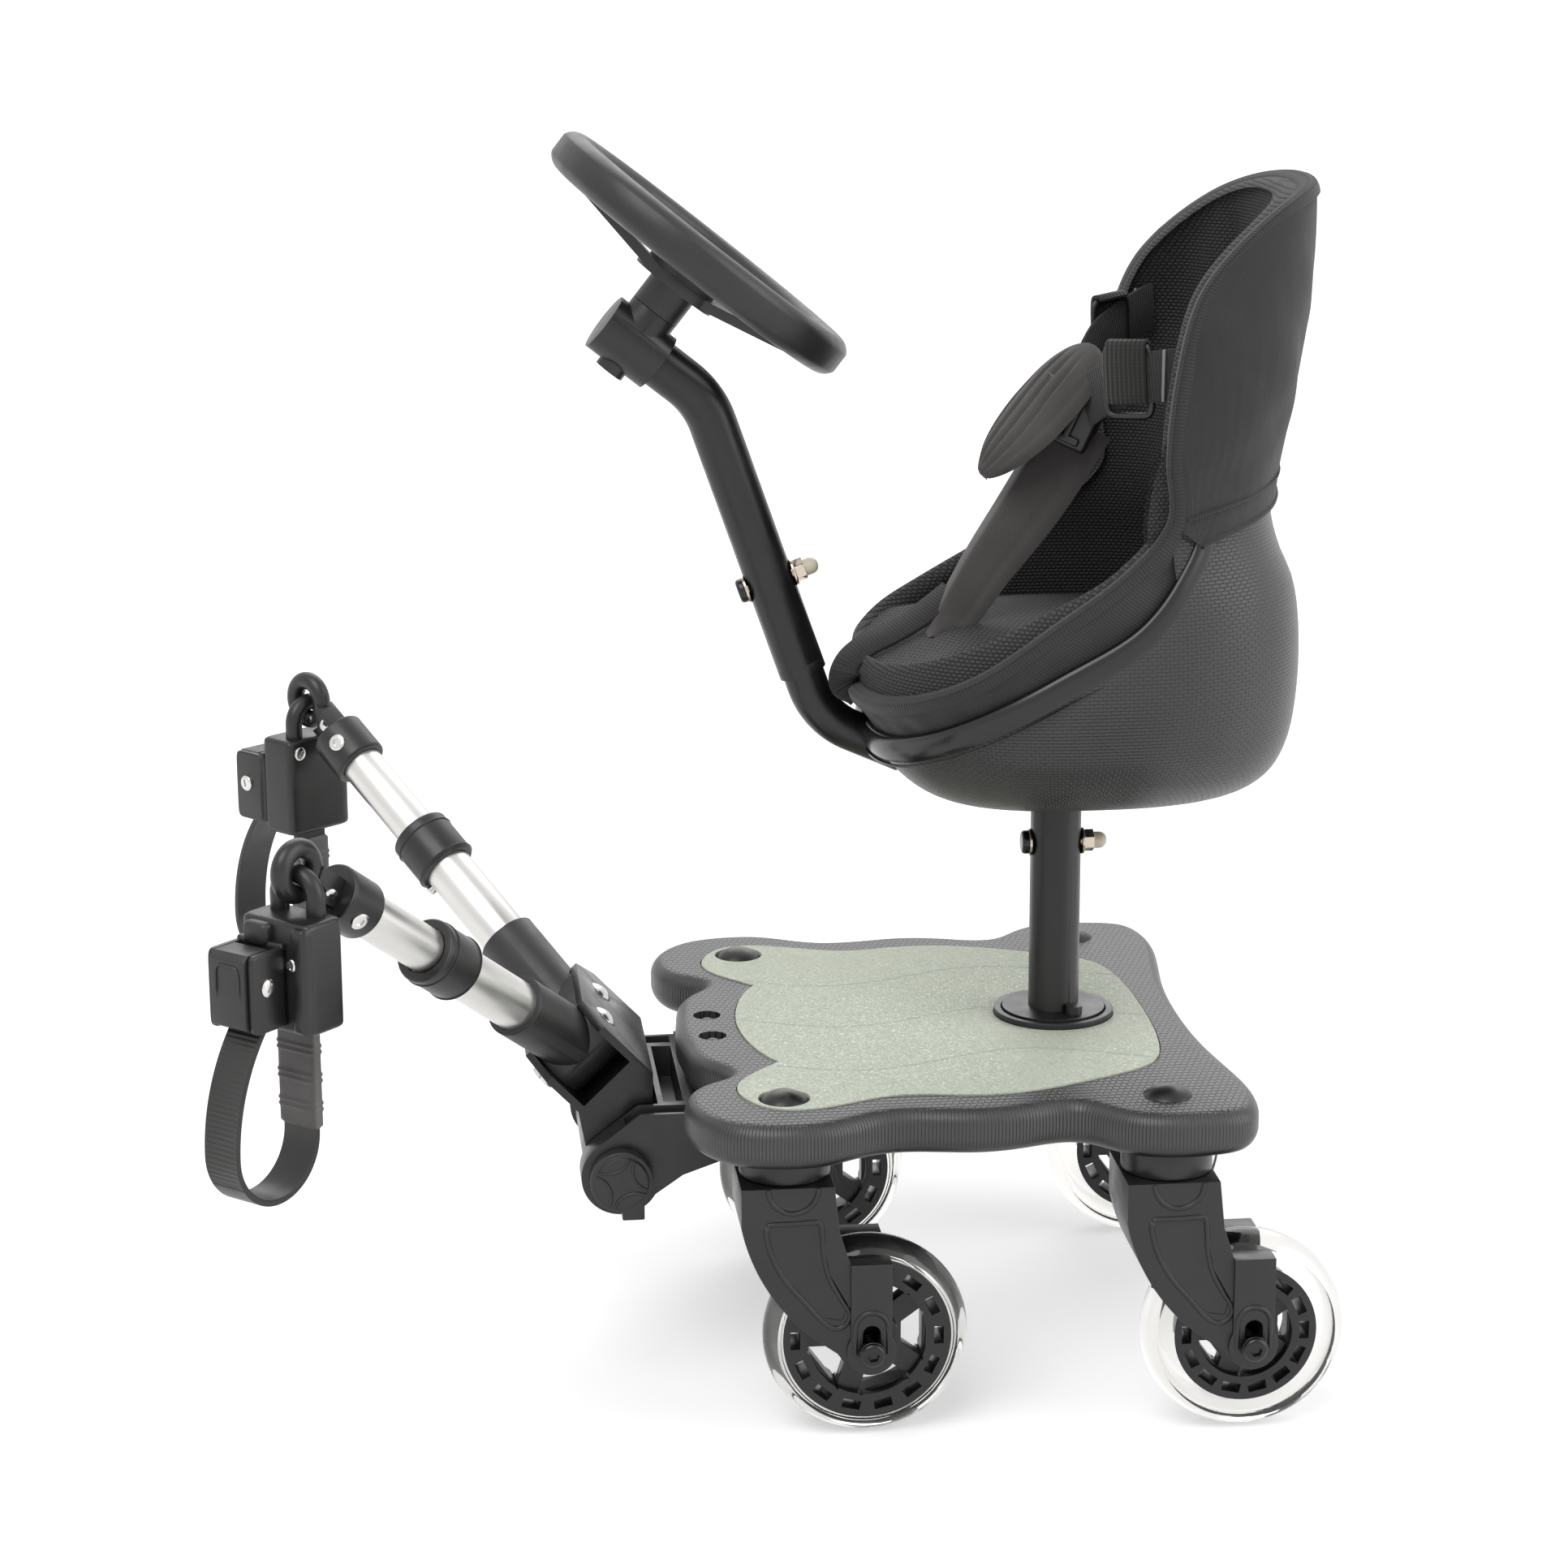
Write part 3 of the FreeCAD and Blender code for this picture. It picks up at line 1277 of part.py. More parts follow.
    fitting_x = (c.end_start, c.end_front)
    fitting = rod("end_barrel", "x", c.end_radius, fitting_x, (0, 0))
    end_round = rounded("end_round", fitting, c.collar_lip / 2, lambda e: e.BoundBox.XLength < 1e-6)
    fitting_bore_x = (c.end_start - c.cut_overrun, c.inner_tube_end)
    fitting_bore = rod("end_bore", "x", c.inner_tube_radius, fitting_bore_x, (0, 0))
    add(cut("end_fitting", end_round, fitting_bore), f"end_fitting_{side_name}", place)

    eye = swivel + along * float(c.eye_reach)
    up = (Vector(0, 0, 1) - along * along.z).normalize()
    hook_place = frame(eye, along, up)
    make_hook(side_name, hook_place)
    heading = Vector(along.x, along.y, 0).normalize()
    make_clamp(side_name, side, frame(eye, heading, Vector(0, 0, 1)))


def make_hook(side_name, place):
    """A round eye on a tongue, opened at its foot, and the sprung gate that closes the opening."""
    ring = fresh("Part::Torus", "eye")
    ring.Placement = Placement(Vector(), AXES["y"])
    bind(ring, Radius1=c.eye_radius, Radius2=c.eye_bar_radius)
    foot = c.end_front - c.eye_reach
    tongue_x = (foot, -c.eye_radius + c.part_gap)
    tongue_y = (-c.tongue_half_width, c.tongue_half_width)
    tongue = box("hook_tongue", tongue_x, tongue_y, (-c.tongue_half_height, c.tongue_half_height))
    eye_span = (-c.eye_radius, c.eye_radius)
    inside = rod("eye_hole", "y", c.eye_radius - c.eye_bar_radius, eye_span, (0, 0))
    blank = fuse("hook_blank", ring, cut("hook_neck", tongue, inside))
    gap_half = c.eye_bar_radius + c.cut_overrun
    gap_reach = (c.eye_radius - gap_half, c.eye_radius + gap_half)
    gap = box("gate_gap", gap_reach, (-c.eye_radius, c.eye_radius), (-c.gate_gap / 2, c.gate_gap / 2))
    turn = Placement(Vector(), Rotation(Vector(0, 1, 0), -float(c.gate_angle)))
    gap_turned = group("gate_gap_turned", gap)
    gap_turned.Placement = turn
    add(cut("hook", blank, gap_turned), f"hook_{side_name}", place)
    middle = c.eye_radius + c.part_gap
    gate_x = (middle - c.gate_thickness / 2, middle + c.gate_thickness / 2)
    gate_y = (-c.gate_width / 2, c.gate_width / 2)
    barrel_radius = c.gate_thickness / 2
    barrel_z = barrel_radius - c.gate_length / 2
    gate = box("gate", gate_x, gate_y, (barrel_z, c.gate_length / 2))
    barrel = rod("gate_barrel", "y", barrel_radius, gate_y, (middle, barrel_z))
    add(fuse("hook_gate", gate, barrel), f"hook_gate_{side_name}", place.multiply(turn))


def make_clamp(side_name, side, place):
    """A strap clamp that hangs in the hook's eye: bail, body, ratchet lever and toothed strap."""

    def handed(name, obj):
        return mirrored(f"{name}_far", obj) if side > 0 else obj

    top = -c.clamp_top
    arch = -(c.eye_radius - c.eye_bar_radius - c.bail_bar_radius - c.part_gap)
    span = float(c.bail_half_span)
    leg_low = float(top - c.bail_seat)
    shoulder = float(arch - c.bail_half_span)
    path = Part.Wire([
        Part.LineSegment(Vector(0, -span, leg_low), Vector(0, -span, shoulder)).toShape(),
        Part.Arc(Vector(0, -span, shoulder), Vector(0, 0, float(arch)), Vector(0, span, shoulder)).toShape(),
        Part.LineSegment(Vector(0, span, shoulder), Vector(0, span, leg_low)).toShape(),
    ])
    circle = Part.Circle(Vector(0, -span, leg_low), Vector(0, 0, 1), float(c.bail_bar_radius))
    ring = Part.Wire([circle.toShape()])
    add(solid("bail", path.makePipeShell([ring], True, True)), f"clamp_bail_{side_name}", place)

    low = top - c.clamp_height
    body_y = (-c.clamp_half_width, c.clamp_half_width)
    block = box("clamp_block", (-c.clamp_back, c.clamp_front), body_y, (low, top))
    block_round = rounded("clamp_round", block, c.clamp_round, runs_along(Vector(0, 0, 1)))
    housing_y = (-c.clamp_half_width, c.housing_width - c.clamp_half_width)
    housing_x = (c.clamp_front - c.clamp_round, c.housing_front)
    housing = box("lever_housing", housing_x, housing_y, (-c.housing_bottom, -c.housing_top))
    housing_round = rounded("housing_round", housing, c.clamp_round, runs_along(Vector(0, 1, 0)))
    latch_y = (c.clamp_round - c.clamp_half_width, c.clamp_round - c.clamp_half_width + c.latch_width)
    latch_x = (c.clamp_front - c.clamp_round, c.clamp_front + c.latch_proud)
    latch = box("latch", latch_x, latch_y, (-c.housing_top, top - c.part_gap))
    blank = fuse("clamp_blank", block_round, housing_round, latch)
    lever_y = (housing_y[0] + c.cheek_plate, housing_y[1] - c.cheek_plate)
    well_x = (c.clamp_front, c.housing_front + c.cut_overrun)
    well_z = (-c.housing_bottom - c.cut_overrun, -c.housing_top + c.cut_overrun)
    well = box("lever_well", well_x, lever_y, well_z)
    strap_y = strap_span()
    slit_y = (strap_y[0] - c.part_gap, strap_y[1] + c.part_gap)
    slit_half = c.strap_thickness / 2 + c.part_gap
    slit_x = (c.strap_back_x - slit_half, c.strap_back_x + slit_half)
    slit = box("strap_slit", slit_x, slit_y, (low - c.cut_overrun, low + c.strap_in + c.part_gap))
    legs = []
    for y in (-c.bail_half_span, c.bail_half_span):
        leg_z = (top - c.bail_seat - c.part_gap, top + c.cut_overrun)
        legs.append(rod("bail_hole", "z", c.bail_bar_radius + c.running_gap, leg_z, (0, y)))
    shell = cut("clamp_shell", blank, well, slit, *legs)
    pivot_at = (c.lever_pivot_x, -c.lever_pivot_drop)
    pin = rod("lever_pin", "y", c.lever_pin_radius, housing_y, pivot_at)
    add(handed("clamp_body", fuse("clamp_body", shell, pin)), f"clamp_body_{side_name}", place)

    lever_gap = (lever_y[0] + c.part_gap, lever_y[1] - c.part_gap)
    steps = [
        (c.lever_toe, -c.housing_bottom),
        (c.lever_front, -c.housing_bottom + c.clamp_round),
        (c.lever_front, -c.housing_top - c.clamp_round),
        (c.lever_front - c.clamp_round, -c.housing_top),
        (c.lever_back, -c.housing_top),
        (c.lever_back, -c.lever_pivot_drop),
    ]
    blade = prism("lever_blade", steps, lever_gap)
    ends = (lever_gap[0] - c.cut_overrun, lever_gap[1] + c.cut_overrun)
    bore = rod("lever_bore", "y", c.lever_pin_radius + c.running_gap, ends, pivot_at)
    add(handed("clamp_lever", cut("clamp_lever", blade, bore)), f"clamp_lever_{side_name}", place)

    strap = solid("strap_band", strap_band(low))
    sleeve_half = c.strap_thickness / 2 + c.sleeve_margin
    sleeve_x = (c.strap_back_x - sleeve_half, c.strap_back_x + sleeve_half)
    sleeve_y = (strap_y[0] - c.sleeve_margin, strap_y[1] + c.sleeve_margin)
    sleeve_z = (-c.sleeve_top - c.sleeve_length, -c.sleeve_top)
    sleeve = box("sleeve_block", sleeve_x, sleeve_y, sleeve_z)
    sleeve_round = rounded("sleeve_round", sleeve, c.sleeve_margin, runs_along(Vector(0, 0, 1)))
    hole_half = c.strap_thickness / 2
    hole_x = (c.strap_back_x - hole_half, c.strap_back_x + hole_half)
    hole_z = (sleeve_z[0] - c.cut_overrun, sleeve_z[1] + c.cut_overrun)
    tube = cut("sleeve", sleeve_round, box("sleeve_hole", hole_x, strap_y, hole_z))
    add(handed("strap", group("strap", strap, tube)), f"ratchet_strap_{side_name}", place)


def strap_span():
    """The strap's two edges across its width, centred in the lever housing."""
    middle = c.housing_width / 2 - c.clamp_half_width
    return (middle - c.strap_width / 2, middle + c.strap_width / 2)


def strap_band(clamp_low):
    """The strap: down the back, round the loop's foot and up the bulging front into the housing."""
    back = float(c.strap_back_x)
    loop = float(c.strap_loop_radius)
    foot = -float(c.strap_loop_drop)
    front = back + 2 * loop
    top = float(clamp_low + c.strap_in)
    end = Vector(float(c.strap_front_x), 0, -float(c.housing_bottom - c.strap_in))
    run = front - end.x
    rise = end.z - foot
    sweep = (run * run + rise * rise) / (2 * run)
    sides = []
    for offset in (float(c.strap_thickness) / 2, -float(c.strap_thickness) / 2):
        bulge = Vector(front - sweep, 0, foot)
        reach = sweep + offset
        whole = math.asin(rise / sweep)
        start = Vector(front + offset, 0, foot)
        middle = bulge + Vector(math.cos(whole / 2), 0, math.sin(whole / 2)) * reach
        last = bulge + Vector(math.cos(whole), 0, math.sin(whole)) * reach
        sides.append((
            Vector(back - offset, 0, top),
            Vector(back - offset, 0, foot),
            Vector(back + loop, 0, foot - loop - offset),
            start,
            middle,
            last,
        ))
    outer, inner = sides
    edges = [
        Part.LineSegment(outer[0], outer[1]).toShape(),
        Part.Arc(outer[1], outer[2], outer[3]).toShape(),
        Part.Arc(outer[3], outer[4], outer[5]).toShape(),
        Part.LineSegment(outer[5], inner[5]).toShape(),
        Part.Arc(inner[5], inner[4], inner[3]).toShape(),
        Part.Arc(inner[3], inner[2], inner[1]).toShape(),
        Part.LineSegment(inner[1], inner[0]).toShape(),
        Part.LineSegment(inner[0], outer[0]).toShape(),
    ]
    low_y, high_y = strap_span()
    face = Part.Face(Part.Wire(edges))
    face.translate(point(0, low_y, 0))
    return face.extrude(point(0, high_y - low_y, 0))


def seat_loft(inset):
    """The seat's bucket as a closed loft, set in by a size."""
    inset = float(inset)
    wires = []
    for z_share, front_share, rear_share, width_share in SEAT_SHARES:
        front = float(c.seat_front_x + c.seat_length * front_share) + inset
        rear = float(c.seat_front_x + c.seat_length * rear_share) - inset
        half = float(c.seat_half_width * width_share) - inset
        lift = inset * max(0.0, 1.0 - z_share / SEAT_FLOOR_SHARE)
        height = float(c.seat_base + c.seat_height * z_share) + lift
        points = []
        for number in range(SEAT_POINTS):
            angle = 2 * math.pi * number / SEAT_POINTS
            x_part = math.copysign(abs(math.cos(angle)) ** SEAT_ROUND_SHARE, math.cos(angle))
            y_part = math.copysign(abs(math.sin(angle)) ** SEAT_ROUND_SHARE, math.sin(angle))
            x = (front + rear) / 2 + (rear - front) / 2 * x_part
            points.append(Vector(x, half * y_part, height))
        wires.append(closed_spline(points, SEAT_PANELS))
    return Part.makeLoft(wires, True, False, False, LOFT_DEGREE)


def above(shares, lift):
    """Everything over a curve in the seat's side view, as a tool that spans its whole width."""
    points = []
    for x_share, z_share in shares:
        x = c.seat_front_x + c.seat_length * x_share
        points.append(point(x, 0, c.seat_base + c.seat_height * z_share + lift))
    over = float(c.seat_base + c.seat_height + c.seat_half_width)
    left = Vector(points[0].x - float(c.seat_half_width), 0, points[0].z)
    left_top = Vector(left.x, 0, over)
    right = Vector(points[-1].x + float(c.seat_half_width), 0, points[-1].z)
    right_top = Vector(right.x, 0, over)
    corners = [points[-1], right, right_top, left_top, left, points[0]]
    edges = [spline(points)]
    for number in range(len(corners) - 1):
        edges.append(Part.LineSegment(corners[number], corners[number + 1]).toShape())
    face = Part.Face(Part.Wire(edges))
    half = 2 * float(c.seat_half_width)
    face.translate(Vector(0, -half, 0))
    return face.extrude(Vector(0, 2 * half, 0))


def lower_stem_points():
    """The bent lower stem: down inside the upper tube, then rearward into the seat's front."""
    along = stem_direction()
    foot = point(c.stem_foot_x, 0, c.stem_foot_z)
    corner = foot - along * float(c.lower_stem_drop)
    fall = float(c.lower_stem_fall)
    rear = Vector(math.cos(math.radians(fall)), 0, -math.sin(math.radians(fall)))
    return [foot + along * float(c.lower_stem_overlap), corner, corner + rear * float(c.lower_stem_run)]


def make_seat_shell():
    """The bucket shell with its low front rim and its stub that the post bolts to."""
    outside = solid("shell_outside", seat_loft(0))
    inside = solid("shell_inside", seat_loft(c.shell_wall))
    open_top = solid("shell_opening", above(RIM_SHARES, 0))
    bowl = cut("shell_bowl", outside, inside, open_top)
    stub_z = (c.seat_base - c.shell_stub, c.seat_base + c.shell_wall)
    stub = rod("shell_stub", "z", c.post_bore - c.running_gap, stub_z, (c.post_x, 0))
    start, corner, end = lower_stem_points()
    hole_radius = float(c.lower_stem_radius + c.running_gap)
    hole = solid("shell_stem_hole", pipe([start, corner, end], float(c.lower_stem_bend), hole_radius))
    side = c.post_radius + c.cut_overrun
    bolt_span = (c.post_x - side, c.post_x + side)
    bolt_hole = rod("stub_bolt_hole", "x", c.bolt_radius + c.running_gap, bolt_span, (0, c.post_bolt_z))
    add(cut("seat_shell", fuse("shell_blank", bowl, stub), hole, bolt_hole), "seat_shell")


def make_seat_liner():
    """The padded liner: a seat cushion, a padded wall and a hood over the shell's back."""
    gap = c.liner_gap
    outside = solid("liner_outside", seat_loft(-gap - c.hood_thickness))
    cavity_blank = solid("liner_cavity", seat_loft(c.shell_wall + gap + c.pad_depth))
    wide = 2 * c.seat_half_width
    left = c.seat_front_x - wide
    right = c.seat_front_x + c.seat_length + wide
    high = c.seat_base + 2 * c.seat_height
    bowl = box("cavity_room", (left, right), (-wide, wide), (c.cushion_top, high))
    cavity = common("cavity", cavity_blank, bowl)
    open_top = solid("liner_opening", above(EDGE_SHARES, 0))
    shell_out = solid("liner_shell_out", seat_loft(-gap))
    shell_in = solid("liner_shell_in", seat_loft(c.shell_wall + gap))
    overlap = solid("liner_overlap", seat_loft(c.shell_wall + gap + c.pad_depth / 4))
    raised_rim = solid("liner_rim", above(RIM_SHARES, gap))
    low_room = box("hem_room", (c.lip_rear_x, right), (-wide, wide), (c.seat_base - wide, c.hood_hem))
    below = (c.seat_base - wide, c.cushion_floor)
    lip_room = box("lip_room", (left, c.lip_rear_x + c.cut_overrun), (-wide, wide), below)
    under = box("cushion_under", (left, right), (-wide, wide), below)
    blank = cut("hood_blank", outside, low_room, lip_room)
    ring = cut("hood_ring", cut("hood_open", blank, overlap), open_top)
    hood = cut("hood", ring, cut("shell_below", shell_out, raised_rim))
    pad = cut("pad_open", cut("pad_hollow", cut("pad_blank", shell_in, under), cavity), open_top)
    slits = harness_bands(c.part_gap)
    add(cut("seat_liner", fuse("liner_whole", pad, hood), *slits), "seat_liner")


def band(name, start, end, width_axis, width, thickness):
    """A flat strap between two points, its width along an axis."""
    along = (end - start).normalize()
    across = (width_axis - along * along.dot(width_axis)).normalize()
    out = across.cross(along)
    half = float(width) / 2
    deep = float(thickness) / 2
    corners = [
        start - across * half - out * deep,
        start + across * half - out * deep,
        start + across * half + out * deep,
        start - across * half + out * deep,
    ]
    face = Part.Face(Part.makePolygon(corners + corners[:1]))
    return solid(name, face.extrude(end - start))


def harness_bands(margin):
    """The crotch strap and the two waist straps, grown by a margin."""
    width = c.webbing_width + 2 * margin
    depth = c.webbing_thickness + 2 * margin
    foot = point(c.crotch_foot_x, 0, c.cushion_top - c.crotch_foot_depth - margin)
    top = point(c.crotch_top_x, 0, c.crotch_top_z)
    bands = [band("crotch_strap", foot, top, Vector(0, 1, 0), c.crotch_width + 2 * margin, depth)]
    for side in (-1, 1):
        back = point(c.waist_back_x, c.waist_back_y * side, c.waist_back_z)
        front = point(c.waist_front_x, c.waist_front_y * side, c.waist_front_z)
        end = back + (back - front).normalize() * float(margin)
        bands.append(band("waist_strap", front, end, Vector(0, 0, 1), width, depth))
    return bands


def make_harness():
    """The crotch strap with its buckle and padded cover, and two waist straps from the liner."""
    tilt = Rotation(Vector(0, 1, 0), -float(c.crotch_pad_tilt))
    cover = Placement(point(c.crotch_pad_x, 0, c.crotch_pad_z), tilt)
    along = (c.buckle_along - c.buckle_length / 2, c.buckle_along + c.buckle_length / 2)
    below = (-c.buckle_below - c.buckle_height / 2, -c.buckle_below + c.buckle_height / 2)
    buckle = box("buckle", along, (-c.buckle_width / 2, c.buckle_width / 2), below)
    buckle_set = group("buckle_set", buckle)
    buckle_set.Placement = cover
    add(fuse("harness", buckle_set, *harness_bands(term(0))), "harness_straps")
    lens = fresh("Part::Ellipsoid", "crotch_cover")
    bind(lens, Radius1=c.crotch_pad_height / 2)
    bind(lens, Radius2=c.crotch_pad_length / 2, Radius3=c.crotch_pad_width / 2)
    add(lens, "crotch_pad", cover)


def steering_place():
    turn = Rotation(Vector(0, 1, 0), float(c.steering_tilt))
    return Placement(point(c.steering_x, 0, c.steering_z), turn)


def make_steering_wheel():
    """The wheel in its own frame, its rim in the XY plane: rim, two dished spokes, hub and horn pad."""
    outer = c.rim_diameter / 2
    inner = outer - c.rim_width
    bend = c.rim_width * RIM_BEND_SHARE
    straight = c.rim_height / 2 - c.rim_width * RIM_DOME_SHARE
    steps = [
        (inner, -straight, bend),
        (outer, -straight),
        (outer, straight, bend),
        (inner, straight),
    ]
    rim = turned_body("rim", "XZ_Plane", steps)
    plate_z = (-c.steering_hub_drop, -c.steering_hub_drop + c.hub_plate_height)
    plate = rod("hub_plate", "z", c.hub_plate_radius, plate_z, (0, 0))
    neck = rod("hub_neck", "z", c.neck_radius, (-c.steering_seam_drop, plate_z[1]), (0, 0))
    horn = rod("horn_pad", "z", c.horn_radius, (plate_z[0], c.horn_top), (0, 0))
    horn_top = float(c.horn_top)
    at_top = lambda edge: abs(edge.BoundBox.ZMin - horn_top) < 1e-6
    horn_round = rounded("horn_round", horn, c.hub_plate_height / 2, at_top)
    spokes = []
    half = c.steering_spoke_width / 2
    deep = c.hub_plate_height
    for side in (-1, 1):
        steps = [
            (side * c.neck_radius, plate_z[0]),
            (side * (inner + c.rim_width / 4), -straight - c.rim_width / 4),
            (side * (inner + c.rim_width / 4), deep - straight - c.rim_width / 4),
            (side * c.neck_radius, plate_z[1]),
        ]
        spokes.append(prism("steering_spoke", steps if side > 0 else steps[::-1], (-half, half)))
    bore_z = (-c.steering_seam_drop - c.cut_overrun, -c.steering_hub_drop)
    bore = rod("wheel_bore", "z", c.steering_pin_radius + c.running_gap, bore_z, (0, 0))
    wheel = cut("steering_wheel", fuse("wheel_blank", rim, plate, neck, horn_round, *spokes), bore)
    add(wheel, "steering_wheel", steering_place())


def make_steering_housing():
    """The tee-shaped housing on the stem's end, with the pin that the wheel turns on."""
    drop = c.housing_drop
    neck_z = (-drop, -c.steering_seam_drop - c.part_gap)
    neck = rod("housing_neck", "z", c.neck_radius, neck_z, (0, 0))
    barrel_x = (-c.housing_half_length, c.housing_half_length)
    barrel = rod("housing_barrel", "x", c.housing_radius, barrel_x, (0, -drop))
    pin_z = (-drop, -c.steering_hub_drop - c.part_gap)
    pin = rod("steering_pin", "z", c.steering_pin_radius, pin_z, (0, 0))
    cap_z = (-drop - c.housing_radius - c.pin_cap_height, -drop)
    cap = rod("pin_cap", "z", c.pin_cap_radius, cap_z, (0, 0))
    stem_bore_x = (c.upper_stem_inset, c.housing_half_length + c.cut_overrun)
    bore = rod("housing_bore", "x", c.upper_stem_radius, stem_bore_x, (0, -drop))
    blank = fuse("housing_blank", neck, barrel, cap)
    housing = fuse("steering_housing", cut("housing_bored", blank, bore), pin)
    add(housing, "steering_housing", steering_place())


def make_stems():
    """The bent upper stem tube, from its foot to the housing, and the lower tube inside it."""
    along = stem_direction()
    foot = point(c.stem_foot_x, 0, c.stem_foot_z)
    place = steering_place()
    rear = place.Rotation.multVec(Vector(1, 0, 0))
    housing = place.multVec(point(0, 0, -c.housing_drop))
    entry = housing + rear * float(c.upper_stem_inset)
    reach = (foot - entry).cross(along).y / rear.cross(along).y
    corner = entry + rear * reach
    bend = float(c.upper_stem_bend)
    tube = solid("upper_tube", pipe([foot, corner, entry], bend, float(c.upper_stem_radius)))
    bore = solid("upper_bore", pipe([foot, corner, entry], bend, float(c.upper_stem_bore)))
    bolt_at = foot + along * float(c.stem_bolt_rise)
    sideways = point(cosine(c.stem_lean), 0, sine(c.stem_lean))
    reach_out = float(c.upper_stem_radius + c.cut_overrun)
    hole_radius = float(c.bolt_radius + c.running_gap)
    hole_shape = Part.makeCylinder(hole_radius, 2 * reach_out, bolt_at - sideways * reach_out, sideways)
    add(cut("upper_stem", tube, bore, solid("upper_bolt_hole", hole_shape)), "steering_stem_upper")
    points = lower_stem_points()
    low_bend = float(c.lower_stem_bend)
    low_tube = solid("lower_tube", pipe(points, low_bend, float(c.lower_stem_radius)))
    low_bore = solid("lower_bore", pipe(points, low_bend, float(c.lower_stem_bore)))
    low_hole = solid("lower_bolt_hole", hole_shape)
    ring_low = foot - along * float(c.stem_ring_height)
    ring_shape = Part.makeCylinder(float(c.upper_stem_radius), float(c.stem_ring_height), ring_low, along)
    ring_bore = Part.makeCylinder(float(c.lower_stem_radius), float(c.stem_ring_height), ring_low, along)
    ring = solid("stem_ring", ring_shape.cut(ring_bore))
    lower = cut("lower_stem", low_tube, low_bore, low_hole)
    add(group("lower_stem_set", lower, ring), "steering_stem_lower")


make_deck()
make_grip_pad()
make_deck_bolts()
post_seat = make_seat_socket()
make_collars()
make_casters()
make_hitch_bracket()
make_pivot()
make_yoke()
make_arm("near", -1)
make_arm("far", 1)
make_seat_post(post_seat)
make_cross_bolts()
make_seat_shell()
make_seat_liner()
make_harness()
make_stems()
make_steering_housing()
make_steering_wheel()
doc.recompute()

failed = [item.Name for item in doc.Objects if "Invalid" in item.State or "Error" in item.State]
if failed:
    raise RuntimeError(f"these did not build: {failed}")
for item in sub_parts:
    if item.Shape.isNull() or not item.Shape.isValid():
        raise RuntimeError(f"{item.Label} has no valid shape")

os.makedirs("parts", exist_ok=True)
for item in sub_parts:
    item.Shape.exportStep(os.path.join("parts", f"{item.Label}.step"))
    box_of = item.Shape.BoundBox
    print(f"{item.Label}: {len(item.Shape.Solids)} solids, {item.Shape.Volume / 1000:.1f} cm3, "
          f"x {box_of.XMin:.1f}..{box_of.XMax:.1f} y {box_of.YMin:.1f}..{box_of.YMax:.1f} "
          f"z {box_of.ZMin:.1f}..{box_of.ZMax:.1f}")
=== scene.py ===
"""The buggy board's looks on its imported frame. Lengths are in millimetres until a mesh is made."""
import json
import math

import bmesh
import bpy
import numpy as np
from mathutils import Matrix, Vector, bvhtree, kdtree

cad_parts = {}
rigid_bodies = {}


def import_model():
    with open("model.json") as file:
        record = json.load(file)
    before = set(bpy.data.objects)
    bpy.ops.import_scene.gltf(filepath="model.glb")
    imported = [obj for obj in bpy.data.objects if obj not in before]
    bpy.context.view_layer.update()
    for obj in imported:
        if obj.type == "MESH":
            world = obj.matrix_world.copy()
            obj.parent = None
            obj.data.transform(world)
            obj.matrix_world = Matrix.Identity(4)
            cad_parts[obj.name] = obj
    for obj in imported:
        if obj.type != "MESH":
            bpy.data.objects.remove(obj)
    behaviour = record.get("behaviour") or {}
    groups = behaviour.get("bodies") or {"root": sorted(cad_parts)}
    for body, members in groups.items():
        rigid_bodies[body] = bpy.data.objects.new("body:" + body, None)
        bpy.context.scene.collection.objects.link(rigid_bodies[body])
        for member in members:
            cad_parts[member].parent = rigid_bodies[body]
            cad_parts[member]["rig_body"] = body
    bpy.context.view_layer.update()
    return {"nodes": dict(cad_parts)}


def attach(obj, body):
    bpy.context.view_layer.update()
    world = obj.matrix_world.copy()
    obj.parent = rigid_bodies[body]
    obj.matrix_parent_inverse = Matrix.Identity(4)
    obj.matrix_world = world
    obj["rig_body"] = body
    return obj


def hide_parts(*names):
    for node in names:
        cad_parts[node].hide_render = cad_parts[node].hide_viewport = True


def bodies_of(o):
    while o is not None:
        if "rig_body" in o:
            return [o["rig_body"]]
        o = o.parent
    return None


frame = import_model()
nodes = frame["nodes"]
MM = 0.001
TURN = 2 * math.pi


def shade(red, green=None, blue=None):
    """A linear colour from sRGB levels of 0 to 255. One level alone is a grey."""
    levels = (red, red if green is None else green, red if blue is None else blue)
    out = []
    for level in levels:
        c = level / 255
        out.append(c / 12.92 if c <= 0.04045 else ((c + 0.055) / 1.055) ** 2.4)
    return tuple(out)


def add_node(tree, kind, values=None, **settings):
    """A shader node with its settings. Each input is a value or another node's socket."""
    made = tree.nodes.new("ShaderNode" + kind)
    for key, value in settings.items():
        setattr(made, key, value)
    for key, value in (values or {}).items():
        if isinstance(value, bpy.types.NodeSocket):
            tree.links.new(value, made.inputs[key])
        else:
            made.inputs[key].default_value = value
    return made


